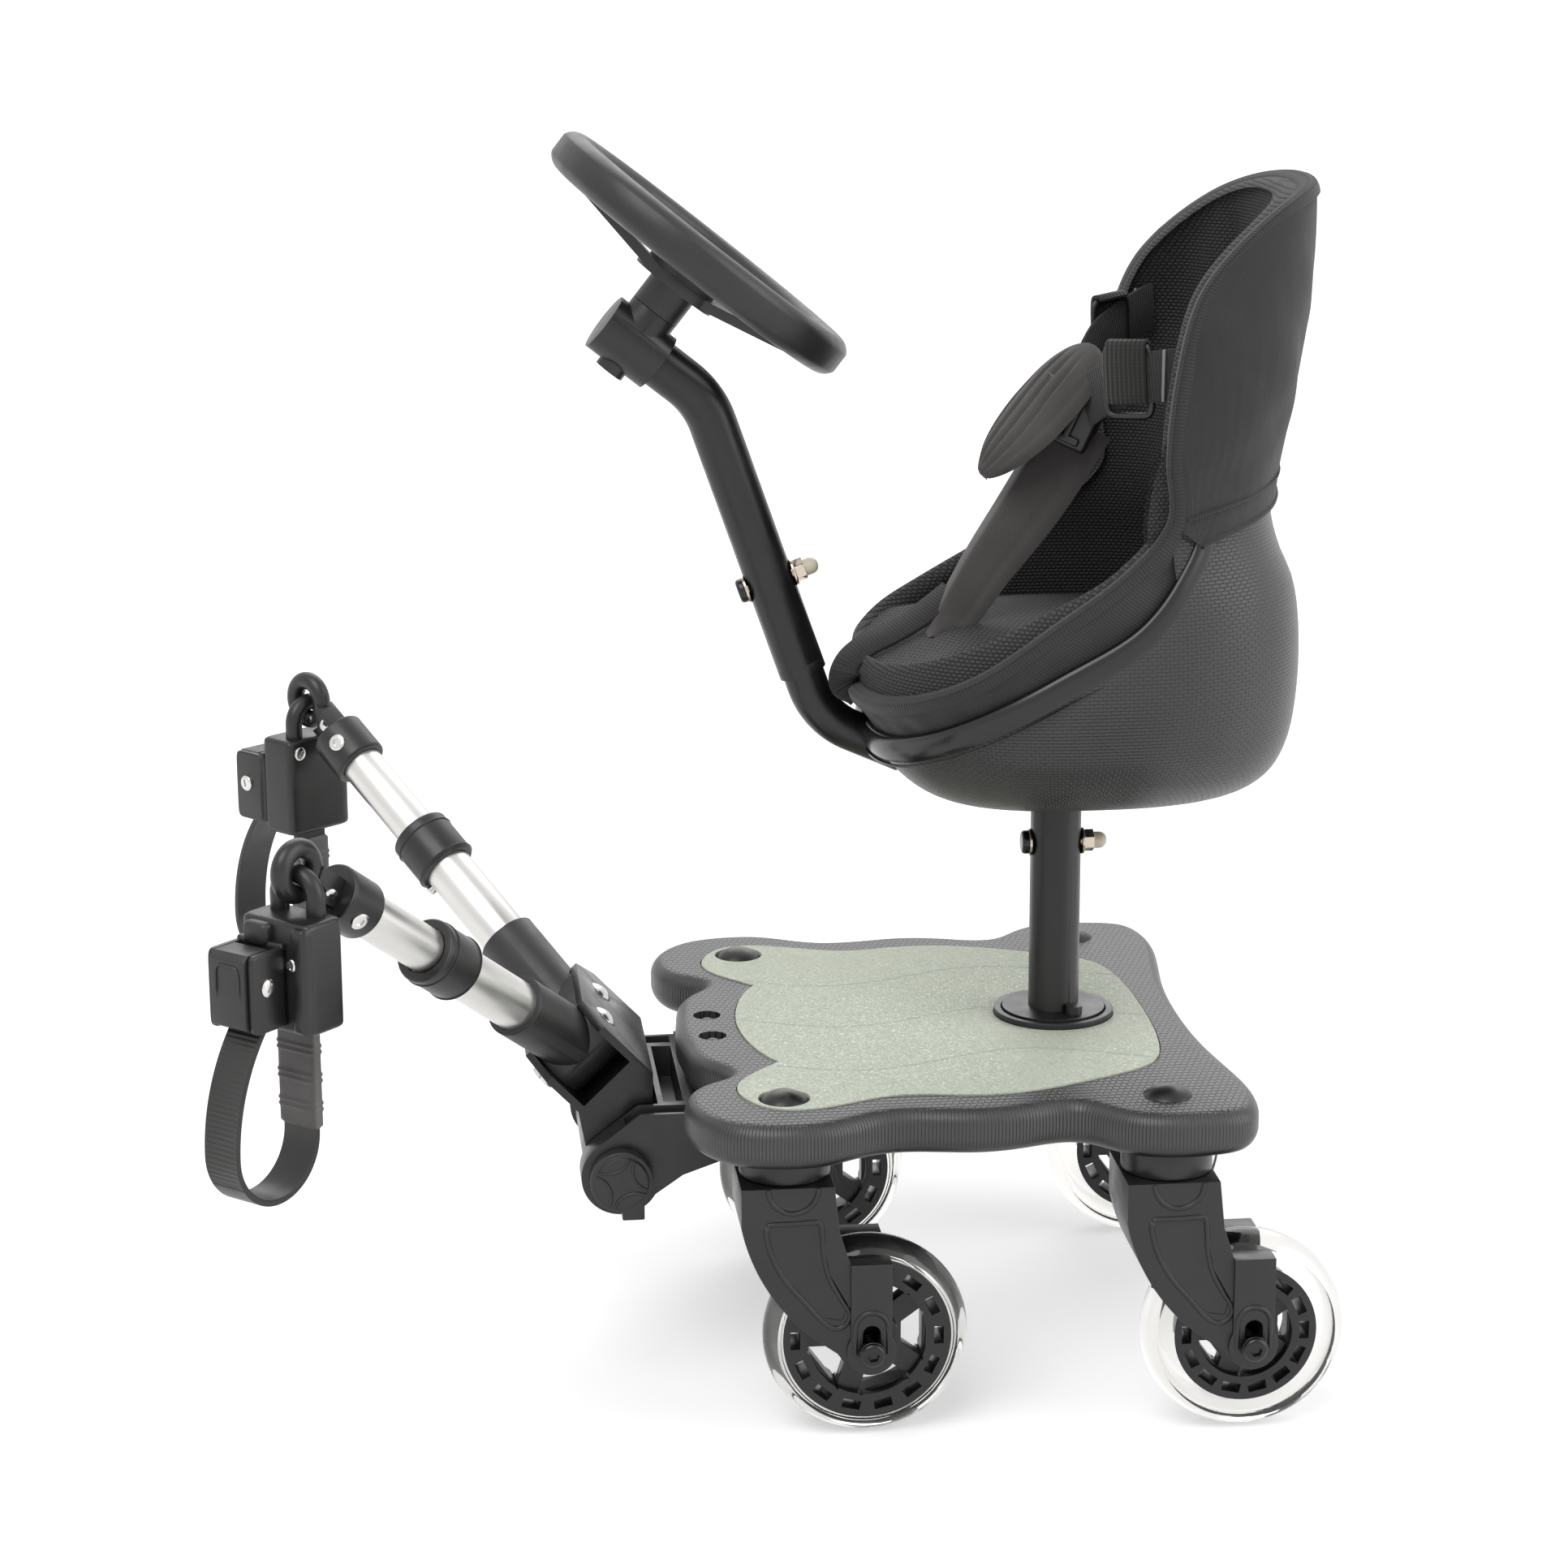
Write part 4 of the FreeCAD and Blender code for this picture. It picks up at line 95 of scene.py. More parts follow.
class Shader:
    """A principled material and the nodes that shape it."""

    def __init__(self, name, colour, roughness, inputs=None):
        self.material = bpy.data.materials.new(name)
        self.material.use_nodes = True
        self.tree = self.material.node_tree
        self.surface = self.tree.nodes["Principled BSDF"]
        self.colour = colour
        self.roughness = roughness
        self.normal = None
        self.surface.inputs["Base Color"].default_value = (*colour, 1)
        self.surface.inputs["Roughness"].default_value = roughness
        for key, value in (inputs or {}).items():
            self.surface.inputs[key].default_value = value

    def node(self, kind, values=None, **settings):
        return add_node(self.tree, kind, values, **settings)

    def link(self, socket, name):
        self.tree.links.new(socket, self.surface.inputs[name])

    def math(self, operation, a, b=0.0):
        return self.node("Math", {0: a, 1: b}, operation=operation).outputs[0]

    def coords(self, kind="Object"):
        return self.node("TexCoord").outputs[kind]

    def axes(self, kind="Object"):
        return self.node("SeparateXYZ", {0: self.coords(kind)}).outputs

    def noise(self, scale, detail):
        return self.node("TexNoise", {"Vector": self.coords(), "Scale": scale, "Detail": detail}).outputs[0]

    def ramp(self, socket, low, high, start, end):
        """A socket's span from low to high, mapped to start and end."""
        return self.node("MapRange", {0: socket, 1: low, 2: high, 3: start, 4: end}).outputs[0]

    def cloud(self, scale, detail, start, end):
        """Soft noise, spread to run from start to end."""
        return self.ramp(self.noise(scale, detail), 0.3, 0.7, start, end)

    def mixed(self, factor, a, b):
        a = (*a, 1) if isinstance(a, tuple) else a
        b = (*b, 1) if isinstance(b, tuple) else b
        return self.node("Mix", {0: factor, 6: a, 7: b}, data_type="RGBA").outputs[2]

    def bump(self, height, depth, strength=1.0):
        """Adds relief from a socket. Depth is in millimetres."""
        values = {"Height": height, "Distance": depth * MM, "Strength": strength}
        if self.normal is not None:
            values["Normal"] = self.normal
        self.normal = self.node("Bump", values).outputs[0]
        self.link(self.normal, "Normal")

    def sine(self, socket, pitch):
        """A wave of 0 to 1 over a length."""
        return self.ramp(self.math("SINE", self.math("MULTIPLY", socket, TURN / pitch)), -1, 1, 0, 1)

    def mottle(self, share, scale, rough_share=0.15):
        """Uneven colour and gloss over the surface."""
        dark = tuple(c * (1 - share) for c in self.colour)
        pale = tuple(c * (1 + share) for c in self.colour)
        self.link(self.mixed(self.cloud(scale, 4.0, 0, 1), dark, pale), "Base Color")
        low = self.roughness * (1 - rough_share)
        high = self.roughness * (1 + rough_share)
        self.link(self.cloud(scale * 3, 3.0, low, high), "Roughness")

    def clouded(self, colour, scale, low):
        """Sets the surface's colour from a socket, darker in soft clouds."""
        values = {0: 1.0, 6: colour, 7: self.cloud(scale, 4.0, low, 1.1)}
        self.link(self.node("Mix", values, data_type="RGBA", blend_type="MULTIPLY").outputs[2], "Base Color")


def moulded(name, level, roughness, grain, scale=1500.0):
    """Moulded plastic with a fine spark grain."""
    made = Shader(name, shade(*level), roughness, {"Specular IOR Level": 0.5})
    made.mottle(0.12, 30.0)
    made.bump(made.noise(scale, 3.0), grain, 0.6)
    return made


def tape_look(name, level, pitch, depth):
    """Ribbed woven tape. Its ribs run across the first UV axis."""
    made = Shader(name, shade(*level), 0.85, {"Sheen Weight": 0.25, "Sheen Roughness": 0.5})
    along, across = made.axes("UV")[:2]
    threads = made.ramp(made.sine(across, pitch * 0.7), 0, 1, 0.6, 1)
    weave = made.math("MULTIPLY", made.sine(along, pitch), threads)
    dark = tuple(c * 0.45 for c in made.colour)
    toned = made.mixed(made.cloud(40.0, 3.0, 0, 0.5), made.colour, dark)
    made.link(made.mixed(made.ramp(weave, 0, 1, 0, 0.9), dark, toned), "Base Color")
    made.bump(weave, depth)
    return made


def weave_look(name, level, pitch, depth, turn_back=0.0):
    """Woven cloth with a slanting twill line and soft creases. A turn-back width makes it a herringbone."""
    made = Shader(name, shade(*level), 0.9, {"Sheen Weight": 0.3, "Sheen Roughness": 0.45})
    along, across = made.axes("UV")[:2]
    swung = made.math("PINGPONG", along, turn_back) if turn_back else along
    slant = made.math("ADD", swung, made.math("MULTIPLY", across, 0.9 if turn_back else 1.7))
    threads = made.ramp(made.sine(across, pitch * 0.8), 0, 1, 0.5, 1)
    weave = made.math("MULTIPLY", made.sine(slant, pitch), threads)
    made.clouded(made.mixed(weave, tuple(c * 0.55 for c in made.colour), made.colour), 22.0, 0.75)
    made.bump(made.noise(60.0, 3.0), 0.6, 0.35)
    made.bump(weave, depth)
    return made


def cell_look(name, dark, pale, width, height, gap, depth, roughness, sheen):
    """Rows of small raised cells, each row set half a cell on from the last. The raised cells are painted
    pale as painted sheen and the gaps dark as painted shade.
    """
    made = Shader(name, shade(*pale), roughness, {"Sheen Weight": sheen, "Sheen Roughness": 0.5})
    values = {
        "Vector": made.coords("UV"),
        "Scale": 1.0,
        "Mortar Size": gap,
        "Mortar Smooth": 1.0,
        "Brick Width": width,
        "Row Height": height,
    }
    raised = made.math("SUBTRACT", 1.0, made.node("TexBrick", values).outputs["Fac"])
    # Painted light: raised cells take the pale colour as painted sheen, the gaps take the dark colour as
    # painted shade.
    made.clouded(made.mixed(raised, shade(*dark), made.colour), 25.0, 0.8)
    made.bump(raised, depth)
    return made


def brushed(name, level, roughness):
    made = Shader(name, shade(*level), roughness, {"Metallic": 1.0})
    made.mottle(0.05, 12.0, 0.2)
    made.bump(made.noise(900.0, 2.0), 0.02, 0.3)
    return made


def clear_look(name):
    made = Shader(name, shade(250, 249, 246), 0.03, {"Transmission Weight": 1.0, "IOR": 1.42})
    made.bump(made.noise(40.0, 2.0), 0.06, 0.15)
    return made


def grip_look(name):
    """Sage glitter sheet with soft stripes and a few pale spots."""
    made = Shader(name, shade(186, 193, 176), 0.75)
    x, y = made.axes()[:2]
    grit = made.node("TexVoronoi", {"Vector": made.coords(), "Scale": 1500.0})
    lights = made.node("SeparateColor", {0: grit.outputs["Color"]}).outputs[0]
    sage = made.mixed(made.cloud(700.0, 3.0, 0, 1), shade(192, 201, 182), shade(224, 229, 213))
    bow = made.math("MULTIPLY", made.math("SINE", made.math("MULTIPLY", x, 38.0)), 0.012)
    stripe = made.math("PINGPONG", made.math("ADD", y, bow), 0.034)
    line = made.ramp(stripe, 0.0, 0.0016, 0.55, 0.0)
    striped = made.mixed(line, sage, shade(158, 167, 155))
    spots = made.node("TexVoronoi", {"Vector": made.coords(), "Scale": 11.0, "Randomness": 0.35})
    spot = made.ramp(spots.outputs["Distance"], 0.13, 0.16, 0.6, 0.0)
    spotted = made.mixed(spot, striped, shade(222, 210, 186))
    spark = made.ramp(lights, 0.93, 0.96, 0.0, 0.75)
    made.link(made.mixed(spark, spotted, shade(244, 246, 238)), "Base Color")
    made.link(made.ramp(lights, 0.9, 0.96, 0.75, 0.25), "Roughness")
    made.bump(lights, 0.12, 0.7)
    return made


LOOKS = {
    # The deck's, the shell's and the liner's cell looks carry painted sheen on their raised cells and painted
    # shade in the gaps between them.
    "deck_black": cell_look("deck_grain_and_painted_light", (14, 13, 14), (74, 73, 74), 2.8, 2.4, 0.5, 0.2, 0.36, 0.0),
    "shell_black": cell_look("shell_grain_and_painted_light", (30, 29, 30), (62, 61, 62), 3.6, 1.8, 0.45, 0.2, 0.36, 0.0),
    "shell_plain": moulded("shell_plain", (24, 23, 24), 0.24, 0.01),
    "grip_green": grip_look("grip_sheet"),
    "gloss_black": moulded("gloss_black", (14, 13, 14), 0.24, 0.004),
    "satin_black": moulded("satin_black", (36, 35, 35), 0.36, 0.03),
    "soft_black": moulded("soft_black", (44, 43, 43), 0.42, 0.03),
    "black_paint": moulded("black_paint", (20, 19, 19), 0.34, 0.02, 2200.0),
    "hub_black": moulded("hub_black", (28, 27, 28), 0.32, 0.02),
    "steel": brushed("bright_steel", (214, 212, 210), 0.18),
    "dark_steel": brushed("dark_steel", (66, 65, 66), 0.25),
    "nickel": brushed("nickel", (196, 186, 172), 0.2),
    "cream_cap": moulded("cream_cap", (226, 216, 194), 0.35, 0.01),
    "aluminium": brushed("anodised", (214, 213, 210), 0.34),
    "clear_tyre": clear_look("clear_tyre"),
    "liner_mesh": cell_look("liner_cells_and_painted_light", (6, 5, 6), (74, 72, 73), 2.4, 1.8, 0.62, 0.5, 0.75, 0.03),
    "hood_cloth": weave_look("hood_cloth", (62, 60, 62), 1.2, 0.1, 7.0),
    "binding": tape_look("binding_tape", (62, 60, 60), 1.6, 0.25),
    "webbing": tape_look("webbing", (48, 47, 47), 1.7, 0.25),
    "webbing_ribs": tape_look("webbing_ribs", (50, 49, 47), 2.4, 0.5),
    "pad_cloth": weave_look("pad_cloth", (100, 96, 95), 0.8, 0.04),
    "strap_black": moulded("strap_black", (46, 45, 44), 0.4, 0.02),
    "hitch_black": moulded("hitch_black", (14, 13, 14), 0.3, 0.02),
    "wheel_black": moulded("wheel_black", (42, 41, 41), 0.4, 0.03),
    "thread": moulded("thread", (150, 146, 144), 0.8, 0.01),
    "thread_dark": moulded("thread_dark", (58, 56, 56), 0.8, 0.01),
    "sleeve_grey": moulded("sleeve_grey", (104, 100, 100), 0.6, 0.03),
}
# Points within so many metres are one, and an edge of so many degrees is a crease.
MERGE = 1e-6
CREASE = 32.0
EDGE_STEPS = 3


class Form:
    """Vertices, faces and face-corner UVs that become one piece."""

    def __init__(self):
        self.verts = []
        self.faces = []
        self.uvs = []

    def grid(self, rows, close_u=False, close_v=False, middle=None):
        """A skin over rows of points. UVs are lengths along it, from the middle column if one is given."""
        rows = np.asarray(rows, float)
        count_v, count_u = rows.shape[:2]
        base = len(self.verts)
        self.verts.extend(map(tuple, rows.reshape(-1, 3)))
        wide = np.concatenate([rows, rows[:, :1]], 1)
        u = np.cumsum(np.linalg.norm(np.diff(wide, axis=1), axis=2), 1)
        u = np.concatenate([np.zeros((count_v, 1)), u], 1)
        if middle is None:
            u = np.repeat(u.mean(0, keepdims=True), count_v, 0)
        else:
            u = u - u[:, middle:middle + 1]
        tall = np.concatenate([rows, rows[:1]], 0)
        v = np.cumsum(np.linalg.norm(np.diff(tall, axis=0), axis=2).mean(1))
        v = np.concatenate([[0.0], v])
        for j in range(count_v if close_v else count_v - 1):
            for i in range(count_u if close_u else count_u - 1):
                corners = ((j, i), (j, i + 1), (j + 1, i + 1), (j + 1, i))
                self.faces.append(tuple(base + b % count_v * count_u + a % count_u for b, a in corners))
                self.uvs.append(tuple((u[b % count_v, a], v[b]) for b, a in corners))
        return self

    def face(self, loop):
        base = len(self.verts)
        self.verts.extend(map(tuple, loop))
        self.faces.append(tuple(range(base, base + len(loop))))
        self.uvs.append(tuple((p[0], p[1]) for p in loop))

    def capped(self, rings):
        """A skin over closed rings of points, with both ends shut."""
        self.grid(rings, close_u=True)
        self.face(rings[0][::-1])
        self.face(rings[-1])
        return self

    def sweep(self, path, section, closed=False, up=(0, 0, 1), ups=None):
        """A section of (out, up) pairs carried along a path, its ends capped. Up stays near a vector."""
        path = np.asarray(path, float)
        count = len(path)
        rows = []
        for k in range(count):
            if closed:
                along = path[(k + 1) % count] - path[k - 1]
            else:
                along = path[min(k + 1, count - 1)] - path[max(k - 1, 0)]
            along = along / np.linalg.norm(along)
            lift = np.asarray(up if ups is None else ups[k], float)
            lift = lift - along * along.dot(lift)
            lift = lift / np.linalg.norm(lift)
            out = np.cross(along, lift)
            shape = section(k / max(count - 1, 1)) if callable(section) else section
            rows.append([path[k] + out * a + lift * b for a, b in shape])
        self.grid(np.transpose(np.asarray(rows), (1, 0, 2)), close_u=closed, close_v=True)
        if not closed:
            self.face(rows[0])
            self.face(rows[-1][::-1])
        return self

    def block(self, size, place, radius):
        """A box round its place's origin with rounded edges."""
        bm = bmesh.new()
        bmesh.ops.create_cube(bm, size=1.0)
        bmesh.ops.scale(bm, vec=Vector(size), verts=bm.verts)
        ease(bm, bm.edges[:], radius)
        base = len(self.verts)
        bm.verts.index_update()
        self.verts.extend(tuple(place @ vert.co) for vert in bm.verts)
        for face in bm.faces:
            self.faces.append(tuple(base + vert.index for vert in face.verts))
            self.uvs.append(tuple((vert.co.x + vert.co.y, vert.co.z) for vert in face.verts))
        bm.free()
        return self

    def lengths(self, pair):
        """Sets each face corner's UV from its point."""
        self.uvs = [tuple(pair(self.verts[k]) for k in loop) for loop in self.faces]
        return self

    def piece(self, name, look, sharp=35.0, body="seat", slot=None, replaces=()):
        """Makes the Blender object, merges doubled points, faces it outwards and hangs it on its body."""
        mesh = bpy.data.meshes.new(name)
        mesh.from_pydata([(x * MM, y * MM, z * MM) for x, y, z in self.verts], [], self.faces)
        layer = mesh.uv_layers.new(name="lengths")
        flat = [uv for corners in self.uvs for uv in corners]
        layer.data.foreach_set("uv", np.asarray(flat, np.float32).ravel())
        bm = bmesh.new()
        bm.from_mesh(mesh)
        bmesh.ops.remove_doubles(bm, verts=bm.verts, dist=MERGE)
        bmesh.ops.dissolve_degenerate(bm, edges=bm.edges, dist=MERGE / 10)
        bmesh.ops.recalc_face_normals(bm, faces=bm.faces)
        bm.to_mesh(mesh)
        bm.free()
        return dress(mesh, name, look, sharp, body, replaces)


def ease(bm, edges, radius):
    """Rounds edges of a mesh."""
    settings = {"segments": EDGE_STEPS, "profile": 0.5, "affect": "EDGES", "clamp_overlap": True}
    bmesh.ops.bevel(bm, geom=edges, offset=radius, **settings)


def dress(mesh, name, look, sharp, body, replaces):
    for polygon in mesh.polygons:
        polygon.use_smooth = True
    mesh.set_sharp_from_angle(angle=math.radians(sharp))
    mesh.materials.clear()
    mesh.materials.append(LOOKS[look].material)
    made = bpy.data.objects.new(name, mesh)
    bpy.context.scene.collection.objects.link(made)
    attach(made, body)
    if replaces:
        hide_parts(*replaces)
    return made


def body_of(node):
    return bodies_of(nodes[node])[0]


def finished(node, look, bevel, slot=None, uv=None):
    """A copy of a CAD node with eased edges. Uv gives each face corner's lengths, where a look needs them."""
    bm = bmesh.new()
    bm.from_mesh(nodes[node].data)
    bmesh.ops.remove_doubles(bm, verts=bm.verts, dist=MERGE)
    bmesh.ops.dissolve_limit(bm, angle_limit=math.radians(0.5), verts=bm.verts, edges=bm.edges)
    if bevel:
        corners = []
        for edge in bm.edges:
            if len(edge.link_faces) == 2 and edge.calc_face_angle() > math.radians(CREASE):
                corners.append(edge)
        ease(bm, corners, bevel * MM)
    bmesh.ops.triangulate(bm, faces=[f for f in bm.faces if len(f.verts) > 4])
    mesh = bpy.data.meshes.new(node + "_look")
    for layer in list(bm.loops.layers.uv):
        bm.loops.layers.uv.remove(layer)
    if uv is not None:
        layer = bm.loops.layers.uv.new("lengths")
        bm.normal_update()
        for face in bm.faces:
            for loop, pair in zip(face.loops, uv(face)):
                loop[layer].uv = pair
    bm.to_mesh(mesh)
    bm.free()
    for spare in ("custom_normal", "sharp_edge"):
        if spare in mesh.attributes:
            mesh.attributes.remove(mesh.attributes[spare])
    return dress(mesh, node + "_look", look, CREASE, body_of(node), (node,))


def axes_place(origin, x_axis, z_axis):
    """A place with its first and third axes along two directions."""
    z = Vector(z_axis).normalized()
    x = Vector(x_axis)
    x = (x - z * z.dot(x)).normalized()
    made = Matrix((x, z.cross(x), z)).transposed().to_4x4()
    made.translation = Vector(origin)
    return made


def spot_at(place, x, y, z):
    return tuple(place @ Vector((x, y, z)))


def smooth_line(points, steps):
    """A rounded line through points, as an array."""
    points = np.asarray(points, float)
    first = 2 * points[0] - points[1]
    last = 2 * points[-1] - points[-2]
    padded = np.vstack([first, points, last])
    out = []
    for k in range(1, len(padded) - 2):
        a, b, c, d = padded[k - 1:k + 3]
        for t in np.arange(steps) / steps:
            out.append(0.5 * (2 * b + (c - a) * t + (2 * a - 5 * b + 4 * c - d) * t * t
                              + (3 * b - a - 3 * c + d) * t ** 3))
    out.append(padded[-2])
    return np.asarray(out)


def step(low, high, x):
    t = np.clip((np.asarray(x, float) - low) / (high - low), 0, 1)
    return t * t * (3 - 2 * t)


def run_of(line):
    """Lengths along a line of points, from zero."""
    return np.concatenate([[0.0], np.cumsum(np.linalg.norm(np.diff(line, axis=0), axis=1))])


def circle(count):
    return np.arange(count) * TURN / count


def oval(half_a, half_b, count):
    return [(half_a * math.cos(a), half_b * math.sin(a)) for a in circle(count)]


def rounded(half_a, half_b, power, count=40, power_b=None):
    """A rounded rectangle's points in a plane. A smaller power has tighter corners."""
    line = []
    for turn in circle(count):
        a, b = math.cos(turn), math.sin(turn)
        reach = half_b * np.sign(b) * abs(b) ** (power_b or power)
        line.append((half_a * np.sign(a) * abs(a) ** power, reach))
    return line


def bead(half, flat, foot, shoulder, top):
    """The section of a raised line."""
    return [(-half, foot), (-half, shoulder), (-flat, top), (flat, top), (half, shoulder), (half, foot)]


# The seat's sections and edges, as in the part's source.
SEAT_FRONT, SEAT_LENGTH, SEAT_HALF, SEAT_BASE, SEAT_HEIGHT = 36.0, 235.0, 108.0, 284.0, 311.0
SEAT_POWER = 0.78
SEAT_SHARES = [
    (0.0, 0.330, 0.690, 0.200), (0.012, 0.250, 0.790, 0.390), (0.032, 0.185, 0.870, 0.574),
    (0.060, 0.135, 0.918, 0.730), (0.096, 0.095, 0.945, 0.856), (0.148, 0.060, 0.963, 0.949),
    (0.228, 0.022, 0.972, 1.0), (0.310, 0.010, 0.970, 0.994), (0.375, 0.012, 0.956, 0.977),
    (0.431, 0.030, 0.924, 0.947), (0.489, 0.075, 0.905, 0.914), (0.559, 0.165, 0.907, 0.884),
    (0.630, 0.285, 0.922, 0.855), (0.711, 0.391, 0.942, 0.821), (0.791, 0.464, 0.959, 0.775),
    (0.855, 0.519, 0.968, 0.718), (0.910, 0.562, 0.973, 0.650), (0.958, 0.603, 0.976, 0.573),
    (1.0, 0.645, 0.978, 0.480),
]
RIM_SHARES = [
    (-0.030, 0.125), (0.068, 0.138), (0.230, 0.203), (0.396, 0.273), (0.562, 0.344), (0.660, 0.431),
    (0.698, 0.502), (0.711, 0.630), (0.757, 0.743), (0.843, 0.849), (0.928, 0.926), (1.060, 0.975),
]
EDGE_SHARES = [
    (-0.040, 0.190), (0.060, 0.205), (0.230, 0.262), (0.396, 0.350), (0.540, 0.425), (0.634, 0.502),
    (0.632, 0.601), (0.651, 0.714), (0.689, 0.817), (0.749, 0.881), (0.851, 0.945), (0.945, 0.981),
    (1.060, 1.006),
]
SECTIONS = smooth_line(SEAT_SHARES, 30)
BOWL_FOOT = 34.0
WALL_INSET = 15.4
COVER_INSET = -2.8
LINER_COLUMNS = 170
LINER_FOOT = 358.0
HOOD_HEM = 437.0
COVER_ROWS = 34
LIP_SHARES = [0.0, 0.2, 0.5, 0.8, 1.0]
LIP_INSETS = [3.4, 2.8, 0.8, -2.0, -2.8]
LIP_DROP = 3.5
CUSHION_EDGE = 368.0
CUSHION_TOP = 379.0
STITCH_LENGTH, STITCH_PITCH, STITCH_RADIUS = 2.4, 3.6, 0.32
# Where the shell's and the liner's columns stand at the notch and at the hood's wing, in degrees.
SHELL_FAN, LINER_FAN = (88.0, 60.0), (86.0, 34.0)
# The bucket's middle and its mean radius, for lengths round it.
BUCKET_MIDDLE = 150.0
BUCKET_RADIUS = 92.0


def powered(value):
    return np.sign(value) * np.abs(value) ** SEAT_POWER


def seat_section(share, column):
    return np.interp(share, SECTIONS[:, 0], SECTIONS[:, column])


def seat_ends(share):
    """The bucket's front and rear at shares of its height."""
    return [SEAT_FRONT + SEAT_LENGTH * seat_section(share, column) for column in (1, 2)]


def seat_points(angles, heights, inset=0.0):
    """Points of the bucket at angles from the rear and at heights, set in from its outside."""
    angles, heights = np.broadcast_arrays(np.asarray(angles, float), np.asarray(heights, float))
    share = (heights - SEAT_BASE) / SEAT_HEIGHT
    front, rear = seat_ends(share)
    x = (front + rear) / 2 + (rear - front - 2 * inset) / 2 * powered(np.cos(angles))
    y = (SEAT_HALF * seat_section(share, 3) - inset) * powered(np.sin(angles))
    return np.stack([x, y, heights], -1)


def edge_path(shares, inset, count):
    """The wall's cut edge on the far side, from the front's middle to the rear's: angles and heights."""
    line = smooth_line(shares, 40)
    front, rear = seat_ends(line[:, 1])
    front, rear = front + inset, rear - inset
    ahead = (2 * (SEAT_FRONT + SEAT_LENGTH * line[:, 0]) - front - rear) / (rear - front)
    kept = slice(np.where(ahead <= -1)[0].max(), np.where(ahead >= 1)[0].min() + 1)
    ahead = np.clip(ahead[kept], -1, 1)
    angles = np.arccos(np.sign(ahead) * np.abs(ahead) ** (1 / SEAT_POWER))
    tops = SEAT_BASE + SEAT_HEIGHT * line[kept, 1]
    fine = np.linspace(0, len(angles) - 1, 12 * len(angles))
    angles = np.interp(fine, np.arange(len(angles)), angles)
    tops = np.interp(fine, np.arange(len(tops)), tops)
    run = run_of(seat_points(angles, tops, inset))
    at = np.linspace(0, run[-1], count)
    return np.interp(at, run, angles), np.interp(at, run, tops)


def all_round(far, sign=1):
    """A far-side line from front to rear, closed by its near-side image."""
    return np.concatenate([far, sign * far[-2:0:-1]])


def both_sides(far, front, sign=1):
    """A far-side line and its near-side image, joined at the line's front end or at its rear end."""
    if front:
        return np.concatenate([sign * far[:0:-1], far])
    return np.concatenate([far, sign * far[-2::-1]])


def fan_base(angles, heights, at_notch, at_wing):
    """Angles at the foot of each column, so that columns spread up to an edge that doubles back."""
    low = np.where(heights < HOOD_HEM + 12)[0].max()
    notch = angles[:low + 1].argmin()
    wing = notch + angles[notch:].argmax()
    marks = [0, notch, wing, len(angles) - 1]
    turns = np.radians([180.0, at_notch, at_wing, 0.0])
    return np.interp(np.arange(len(angles)), marks, turns), notch


def lifted(across, ring, lean):
    """Unit vectors square to a ring and to the ways across it, on the side of a lean."""
    ups = np.cross(across, np.roll(ring, -1, 0) - np.roll(ring, 1, 0))
    ups = ups / np.linalg.norm(ups, axis=1, keepdims=True)
    return ups * np.sign((ups * np.array([lean, 0, 1])).sum(1, keepdims=True))


def bucket_lengths(made):
    """Sets each face corner's UV to its lengths round and up the bucket. The join is at the front."""
    heights = np.linspace(SEAT_BASE, SEAT_BASE + SEAT_HEIGHT, 240)
    share = (heights - SEAT_BASE) / SEAT_HEIGHT
    deep = (seat_section(share, 2) - seat_section(share, 1)) * SEAT_LENGTH / 2
    radius = (deep + seat_section(share, 3) * SEAT_HALF) / 2
    run = np.concatenate([[0.0], np.cumsum(np.hypot(np.diff(heights), np.diff(radius)))])
    spots = np.asarray(made.verts)
    turn = np.arctan2(spots[:, 1], spots[:, 0] - BUCKET_MIDDLE)
    up = np.interp(spots[:, 2], heights, run)
    made.uvs = []
    for loop in made.faces:
        near = [turn[k] + round((turn[loop[0]] - turn[k]) / TURN) * TURN for k in loop]
        made.uvs.append(tuple((angle * BUCKET_RADIUS, up[k]) for angle, k in zip(near, loop)))
    return made


def stitches(line, ups):
    """Short raised threads along a line, as one form."""
    run = run_of(line)
    made = Form()
    for k in range(int(run[-1] / STITCH_PITCH)):
        start = k * STITCH_PITCH
        ends = [start, start + STITCH_LENGTH / 2, start + STITCH_LENGTH]
        spots = np.stack([np.interp(ends, run, line[:, axis]) for axis in range(3)], 1)
        up = np.array([np.interp(ends[1], run, ups[:, axis]) for axis in range(3)])
        up = up / np.linalg.norm(up)
        bowed = spots + up[None, :] * np.array([[-0.5], [0.6], [-0.5]]) * STITCH_RADIUS
        made.sweep(bowed, oval(STITCH_RADIUS, 0.8 * STITCH_RADIUS, 5), ups=[up] * 3)
    return made


RIM_BAND = [
    (3.4, -6.0), (3.6, -0.8), (2.9, 0.9), (1.5, 1.7), (-0.2, 1.6), (-1.5, 0.6), (-2.2, -1.2),
    (-2.4, -3.4), (-2.2, -6.0), (-1.6, -8.4), (-0.8, -10.2), (-0.1, -11.2), (1.0, -11.0),
]
RIM_BEAD = [(0.8, -0.7), (-0.3, -0.5), (-0.45, 0.0), (-0.3, 0.5), (0.8, 0.7)]
BEAD_DROP = 13.2


